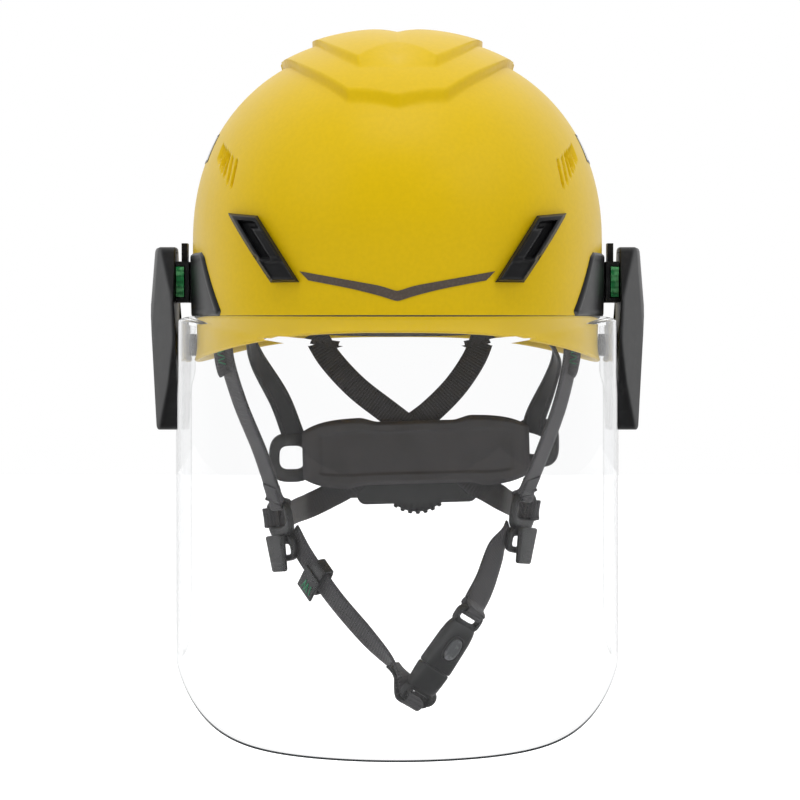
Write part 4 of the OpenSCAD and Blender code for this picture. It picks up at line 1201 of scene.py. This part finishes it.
RL = [[-48, 112, 6.4], [-39, 106, -8], [-24, 100, -24], [-6, 97.2, -38], [10, 96.9, -50], [27, 96.3, -62], [42, 94.6, -77], [53, 92.5, -83.5], [61, 86, -88], [65.5, 62, -90], [67.5, 30, -91.5], [68.4, 8, -91.8]]
RLD = [[1, 0, 0.08], [1, 0, 0.4], [0.7, 0, 0.7], [0.7, 0, 0.8], [0.65, 0, 0.8], [0.6, 0, 0.8], [0.45, 0, 1], [0.25, 0.1, 1], [0.1, 0.2, 1], [0, 0.1, 1], [0, 0, 1], [0, 0, 1]]
RR = [[50, 112, 6.4], [44, 106, -8], [33, 101, -24], [19, 98.9, -38], [6, 99.2, -48], [-12, 96.6, -64], [-27, 94.6, -79], [-40, 92.5, -86.5], [-51, 84, -91.5], [-57, 60, -93], [-61.5, 28, -94.5], [-64, 8, -95]]
RRD = [[-1, 0, 0.08], [-1, 0, 0.4], [-0.7, 0, 0.7], [-0.7, 0, 0.8], [-0.65, 0, 0.8], [-0.6, 0, 0.8], [-0.45, 0, 1], [-0.25, 0.1, 1], [-0.1, 0.2, 1], [0, 0.1, 1], [0, 0, 1], [0, 0, 1]]


def rear_strap(base, P, D, node):
    p, d = smooth_path(P, 12), smooth_path(D, 12)
    cut = 12 * 5
    out = []
    for nm, a, b in (("_upper", 0, cut + 1), ("_lower", cut, len(p))):
        V, F, UV = tube(p[a:b], d[a:b], web_prof(14, 1.4))
        out.append(obj(base + nm, V, F, WEB, None, (), 50, UV))
    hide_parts(node)
    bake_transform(out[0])
    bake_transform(out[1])


rear_strap("rear_strap_l", RL, RLD, "chin_strap_rear_left")
rear_strap("rear_strap_r", RR, RRD, "chin_strap_rear_right")

ll = webbing("chin_lower_l", [[-57, -4, -102.3], [-49.4, -12.7, -115.3], [-34, -27, -136], [-17, -38, -155], [-4, -45.2, -168.5], [2.7, -48.6, -177]], [[0.5, -0.75, 0.4]] * 4 + [[0.02, -0.76, 0.5], [-0.55, -0.66, 0.5]], 14, 1.6, WEB, None, ("chin_strap_lower_left",), 14)
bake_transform(ll)
webbing("chin_lower_r", [[61, -3.9, -100.3], [53.8, -13.4, -111], [46.9, -30.6, -128], [40.6, -46, -138.6]], [[-0.5, -0.75, -0.4], [-0.5, -0.78, -0.3], [-0.6, -0.75, 0.0], [-0.67, -0.6, 0.4]], 14, 1.6, WEB, "shell", ("chin_strap_lower_right",), 14)


def dset(V, c):
    return xf(xf(xf(V, rot("Z", 34)), rot("Y", -9)), None, c)


def yx(V):
    """turn a plate from the x-z plane into the y-z plane"""
    return np.stack([V[:, 1], -V[:, 0], V[:, 2]], 1)


DIV_L, DIV_R = (-63.9, -3.0, -96.0), (-68.4, -3.0, -91.6)


def divider(name, node, c, sd):
    up = ring_plate((0, 1.0, 11, 11, 3.0), (0, 2.75, 8.4, 5.75, 3.0), 4.4, 1.2)
    lo = ring_plate((0, -14.6, 11, 7.4, 3.4), (0, -15.5, 8.4, 3.0, 4.0), 4.4, 1.0)
    V, F = join([(yx(up[0]), up[1]), (yx(lo[0]), lo[1])])
    V = dset(V, c)
    if sd > 0:
        V = mirror_x(V)
    return obj(name, V, F, BLK_SATIN, "shell", (node,), 32)


def cam_lever(name, node, c, sd, body):
    def taper(bm):
        for v in bm.verts:
            if v.co.z < 0:
                v.co.y *= 0.84
                v.co.x = v.co.x * 0.7 - 0.4
    parts = [bevel_box((4, 16, 20), 1.3, 4, (-4.9, 0, -17), taper)]
    for k in range(3):
        parts.append(bevel_box((0.8, 10, 0.9), 0.3, 2, (-6.55, 0, -19.5 - 2.3 * k)))
    V, F = join(parts)
    V = dset(V, c)
    if sd > 0:
        V = mirror_x(V)
    return obj(name, V, F, BLK_SATIN, body, (node,), 32)


divider("strap_divider_l", "divider_left", DIV_L, -1)
divider("strap_divider_r", "divider_right", DIV_R, 1)
cam_lever("lever_l", "cam_lever_left", DIV_L, -1, "lever_left")
cam_lever("lever_r", "cam_lever_right", DIV_R, 1, "lever_right")

KM = np.array([-42.22222, -19.72222, -125.31667])
KT = np.array([0.51781, -0.49206, -0.69982])
KD = np.array([0.34658, -0.62724, 0.69746])
KN = np.array([0.78215, 0.60370, 0.15425])
KR = np.stack([KN, KD, KT], 1)


def keeper():
    n = 72
    prof = [(1, 0.5, -5), (1, 0.0, -4.4), (1, 0.0, 4.4), (1, 0.5, 5), (0, 0.5, 5), (0, 0.0, 4.4), (0, 0.0, -4.4), (0, 0.5, -5)]
    rings = []
    for o, d, z in prof:
        if o:
            pts = sup(0, 0, 4 - d, 9.4 - d, 5.0, n)
        else:
            pts = sup(0, 0, 2.3 + d, 8.1 + d, 6.0, n)
        rings.append([(x, y, z) for x, y in pts])
    V, F = rings_closed(rings)
    # sewn tab on the outer face
    tab = bevel_box((1.5, 15.5, 13.5), 0.5, 3, (-4.3, -5.2, -1.2))
    V, F = join([(V, F), tab])
    obj("strap_loop", xf(V, KR, KM), F, BLK, "shell", ("strap_keeper",), 32)
    bars = []
    for k in range(5):
        V, F = bevel_box((0.5, 6.2, 0.62), 0.2, 2, (-5.2, -7.6, -3.6 + k * 1.25))
        bars.append((xf(V, rot("X", 9 if k % 2 else -9), (0, 0, 0)), F))
    V, F = join(bars)
    ob = obj("strap_loop_stitch", xf(V, KR, KM), F, GREENT, "shell", (), 40)
    return ob


keeper()


def end_tab(name, sd):
    """sewn end of the front webbing just under the rim, with a bar tack"""
    P = [[sd * 94.2, -56.5, 1.5], [sd * 94.6, -55.2, -5], [sd * 93.4, -52.6, -12.5], [sd * 92.2, -50.6, -15.5]]
    webbing(name, P, [[0.8, -0.6 * sd, 0]] * 4, 6.2, 2.0, WEB, "shell", (), 8)
    bars = []
    for k in range(4):
        V, F = bevel_box((4.6, 0.5, 0.6), 0.2, 2, (0, 0, 0))
        V = xf(V, rot("Y", 16 if k % 2 else -16))
        V = xf(V, rot("Z", -37 * sd if False else 37 * -sd))
        bars.append((V + np.array([sd * 93.7 - sd * 0.2 * k, -55.2 - 1.25 + 0.5 * k, -3.6 - 2.0 * k]), F))
    V, F = join(bars)
    obj(name + "_stitch", V, F, GREENT, "shell", (), 40)


end_tab("strap_end_l", -1)
end_tab("strap_end_r", 1)


def bset(V):
    return xf(xf(xf(V, rot("Z", 36)), rot("Y", 34)), None, (23.6, -51, -165.6))


def buckle():
    body = loft([(-7.0, 9.3, 3.9, 4.2), (-6.7, 9.8, 4.3, 4.2), (-6.0, 10.0, 4.5, 4.0), (-1, 10.0, 4.5, 3.6), (6, 9.9, 4.5, 3.2), (12, 9.8, 4.4, 3.0), (16.5, 9.4, 4.0, 2.9), (19.2, 8.9, 3.2, 2.9), (20.4, 8.4, 2.5, 3.0)])
    lp_ = ring_plate((0, 24.6, 8.9, 6.0, 3.2), (0, 25.0, 6.5, 2.3, 3.6), 5.0, 1.2)
    rim = ring_plate((0, 6.5, 5.6, 7.6, 2.7), (0, 6.5, 4.5, 6.5, 2.7), 1.2, 0.4)
    V, F = join([body, lp_, (xf(rim[0], None, (0, -4.6, 0)), rim[1])])
    obj("buckle_body", bset(V), F, BLK_SATIN, "shell", ("buckle_socket",), 32)
    # grey push button
    secs = [(-2.6, 4.2, 6.2, 2.6), (-4.6, 4.2, 6.2, 2.6), (-5.2, 4.0, 5.9, 2.6), (-5.5, 3.5, 5.4, 2.6), (-5.55, 2.4, 4.0, 2.6)]
    rings = [[(x, y, z + 6.5) for x, z in sup(0, 0, hx, hz, ex, 56)] for y, hx, hz, ex in secs]
    V, F = rings_closed(rings, False, True)
    obj("buckle_push", bset(V), F, GREY, "button", ("buckle_button",), 32)
    pb = loft([(-21.2, 8.6, 2.6, 3.0), (-20.4, 9.2, 3.4, 2.9), (-18.2, 9.8, 4.2, 3.0), (-14, 10.0, 4.5, 3.3), (-8.6, 10.0, 4.5, 4.0), (-7.7, 9.8, 4.3, 4.2), (-7.25, 9.4, 3.9, 4.2)])
    tongue = bevel_box((14.4, 1.9, 19), 0.5, 2, (0, 0.35, 2.2))
    lo = ring_plate((0, -24.8, 9.9, 5.2, 3.4), (0, -25.2, 8.0, 2.2, 4.0), 5.0, 1.2)
    V, F = join([pb, tongue, lo])
    obj("buckle_tongue", bset(V), F, BLK_SATIN, "plug", ("buckle_plug",), 32)


buckle()


def strap_wrap(name, end, tan, mid, body, d=(0.671, 0.588, -0.452), w=12.0):
    """sewn loop of webbing from the strap end round a bar"""
    d = np.array(d)
    tan = np.array(tan, float) / np.linalg.norm(tan)
    nrm = np.cross(tan, d)
    nrm /= np.linalg.norm(nrm)
    end = np.array(end, float)
    if np.dot(mid[0] - mid[-1], nrm) < 0:
        nrm = -nrm
    P = [end - tan * 9 + nrm * 1.25, end + nrm * 1.35] + mid + [end - nrm * 1.35, end - tan * 9 - nrm * 1.25]
    return webbing(name, [list(p) for p in P], [list(d)] * len(P), w, 1.2, WEB, body, (), 8)


strap_wrap("chin_loop_r", (40.6, -46, -138.6), (-6.3, -15.4, -10.6), list(bset(np.array([(0, 3.7, 30.2), (0, 2.9, 26.9), (0, 0, 25.9), (0, -2.9, 26.9), (0, -3.7, 30.2)], float))), "shell")
strap_wrap("chin_loop_l", (2.7, -48.6, -177), (6.7, -3.4, -8.5), list(bset(np.array([(-3, 4.2, -25.4), (-1, 0.4, -25.9), (-0.6, -2.9, -26.8), (-0.6, -3.6, -28.8), (-0.8, -2.6, -30.9), (-1.4, 0.6, -31.4), (-3, 4.2, -29.6)], float))), "plug")
SIDE_BAR = np.array([(3.3, 10.2, 2.75), (2.9, 7.3, 2.75), (0, 6.5, 2.75), (-2.9, 7.3, 2.75), (-3.3, 10.2, 2.75)], float)
strap_wrap("rear_loop_l", (-64, 8, -95), (-2.5, -20, -0.5), list(dset(SIDE_BAR, DIV_L)), "shell", (-0.156, 0, 0.988), 10.6)
strap_wrap("rear_loop_r", (68.4, 8, -91.8), (0.9, -22, -0.3), list(mirror_x(dset(SIDE_BAR, DIV_R))), "shell", (0.156, 0, 0.988), 10.6)
TOP_BAR = np.array([(3.0, -2.2, 10.6), (2.8, -2.2, 7.4), (0, -2.2, 6.7), (-2.8, -2.2, 7.4), (-3.0, -2.2, 10.6)], float)
strap_wrap("front_loop_l", (-66.5, -9, -83), (7.5, 16, -25), list(dset(TOP_BAR, DIV_L)), "shell", (-0.552, 0.829, -0.087), 11.0)
strap_wrap("front_loop_r", (70.6, -9, -78.6), (-8.6, 16, -22.6), list(mirror_x(dset(TOP_BAR, DIV_R))), "shell", (0.552, 0.829, -0.087), 11.0)
TAIL = bset(np.array([(0.5, 3.9, -28.6), (5.0, 5.4, -27.2), (9.5, 7.0, -25.3), (13.6, 8.1, -23.5)], float))
webbing("strap_tail", [list(p) for p in TAIL], [[0.42, -0.1, 0.9]] * 4, 8.5, 1.4, WEB, "plug", (), 8)
keep("buckle_spring", STEEL, 0)


def end_cap():
    V, F = lathe([(0.05, -5.5), (2.2, -5.0), (4.0, -3.8), (5.2, -1.8), (5.5, 0.0), (5.2, 1.8), (4.0, 3.8), (2.2, 5.0), (0.05, 5.5)], 48)
    V = xf(V, rot("X", 70), (15.6, -36.4, -188.6))
    obj("end_cap", V, F, CAPR, "plug", ("strap_end_cap",), 60)


end_cap()

# ------------------------------------------------------------------ stage
def plane(name, size, z):
    me = bpy.data.meshes.new(name)
    s = size / 2
    me.from_pydata([(-s, -s, z), (s, -s, z), (s, s, z), (-s, s, z)], [], [(0, 1, 2, 3)])
    ob = link(bpy.data.objects.new(name, me))
    return ob


fm, fnt, fb = mat("stage_floor")
fb.inputs["Base Color"].default_value = (0.93, 0.93, 0.93, 1)
fb.inputs["Roughness"].default_value = 0.9
fb.inputs["Specular IOR Level"].default_value = 0.1
fb.inputs["Emission Color"].default_value = (1, 1, 1, 1)
flp = fnt.nodes.new("ShaderNodeLightPath")
fmul = nd(fnt, "ShaderNodeMath", operation="MULTIPLY")
fmul.inputs[1].default_value = 0.75
fmax = nd(fnt, "ShaderNodeMath", operation="MAXIMUM")
fnt.links.new(flp.outputs["Is Camera Ray"], fmax.inputs[0])
fnt.links.new(flp.outputs["Is Transmission Ray"], fmax.inputs[1])
fnt.links.new(fmax.outputs[0], fmul.inputs[0])
fnt.links.new(fmul.outputs[0], fb.inputs["Emission Strength"])
floor = plane("floor", 14.0, -0.32)
floor.data.materials.append(fm)
floor.visible_glossy = False

wd = bpy.data.worlds.new("world")
bpy.context.scene.world = wd
wd.use_nodes = True
wn = wd.node_tree
bg1 = wn.nodes["Background"]
bg1.inputs["Color"].default_value = (1, 1, 1, 1)
bg1.inputs["Strength"].default_value = 1.0
bg2 = wn.nodes.new("ShaderNodeBackground")
wt = wn.nodes.new("ShaderNodeTexCoord")
ws = wn.nodes.new("ShaderNodeSeparateXYZ")
wn.links.new(wt.outputs["Generated"], ws.inputs[0])
wr = wn.nodes.new("ShaderNodeMapRange")
wr.inputs["From Min"].default_value = -0.05
wr.inputs["From Max"].default_value = 0.55
wr.inputs["To Min"].default_value = 0.16
wr.inputs["To Max"].default_value = 1.0
wz = nd(wn, "ShaderNodeMath", operation="MULTIPLY_ADD")
wz.inputs[1].default_value = 0.3
wn.links.new(ws.outputs["Z"], wz.inputs[0])
wn.links.new(ws.outputs["Y"], wz.inputs[2])
wn.links.new(wz.outputs[0], wr.inputs["Value"])
wn.links.new(wr.outputs["Result"], bg2.inputs["Strength"])
bg2.inputs["Color"].default_value = (1, 1, 1, 1)
wl = wn.nodes.new("ShaderNodeLightPath")
wm = wn.nodes.new("ShaderNodeMixShader")
wx = nd(wn, "ShaderNodeMath", operation="MAXIMUM")
wn.links.new(wl.outputs["Is Camera Ray"], wx.inputs[0])
wn.links.new(wl.outputs["Is Transmission Ray"], wx.inputs[1])
wn.links.new(wx.outputs[0], wm.inputs["Fac"])
wn.links.new(bg2.outputs[0], wm.inputs[1])
wn.links.new(bg1.outputs[0], wm.inputs[2])
wn.links.new(wm.outputs[0], wn.nodes["World Output"].inputs["Surface"])


def area(name, loc, target, size, power, sy=None, colour=(1, 1, 1), glossy=False):
    l = bpy.data.lights.new(name, "AREA")
    l.energy = power
    l.size = size
    if sy:
        l.shape = "RECTANGLE"
        l.size_y = sy
    l.color = colour
    o = link(bpy.data.objects.new(name, l))
    o.location = loc
    d = Vector(target) - Vector(loc)
    o.rotation_euler = d.to_track_quat("-Z", "Y").to_euler()
    o.visible_glossy = glossy
    o.visible_transmission = glossy
    return o


area("key_left", (-1.7, -1.3, 1.5), (0, 0, 0.05), 1.8, 19.5)
area("key_right", (1.7, -1.3, 1.5), (0, 0, 0.05), 1.8, 19.5)
area("top", (0, -0.7, 2.1), (0, 0, 0), 1.2, 19)

cam = bpy.data.cameras.new("camera")
co = link(bpy.data.objects.new("camera", cam))
co.location = (0.0014, -2.0, 0.0)
co.rotation_euler = (math.radians(90 - 0.86), 0, 0)
cam.sensor_width = 36
cam.lens = 36 * 2.0 / (800 * 0.000545)
cam.clip_end = 100
bpy.context.scene.camera = co
bpy.context.scene.view_settings.view_transform = "Standard"
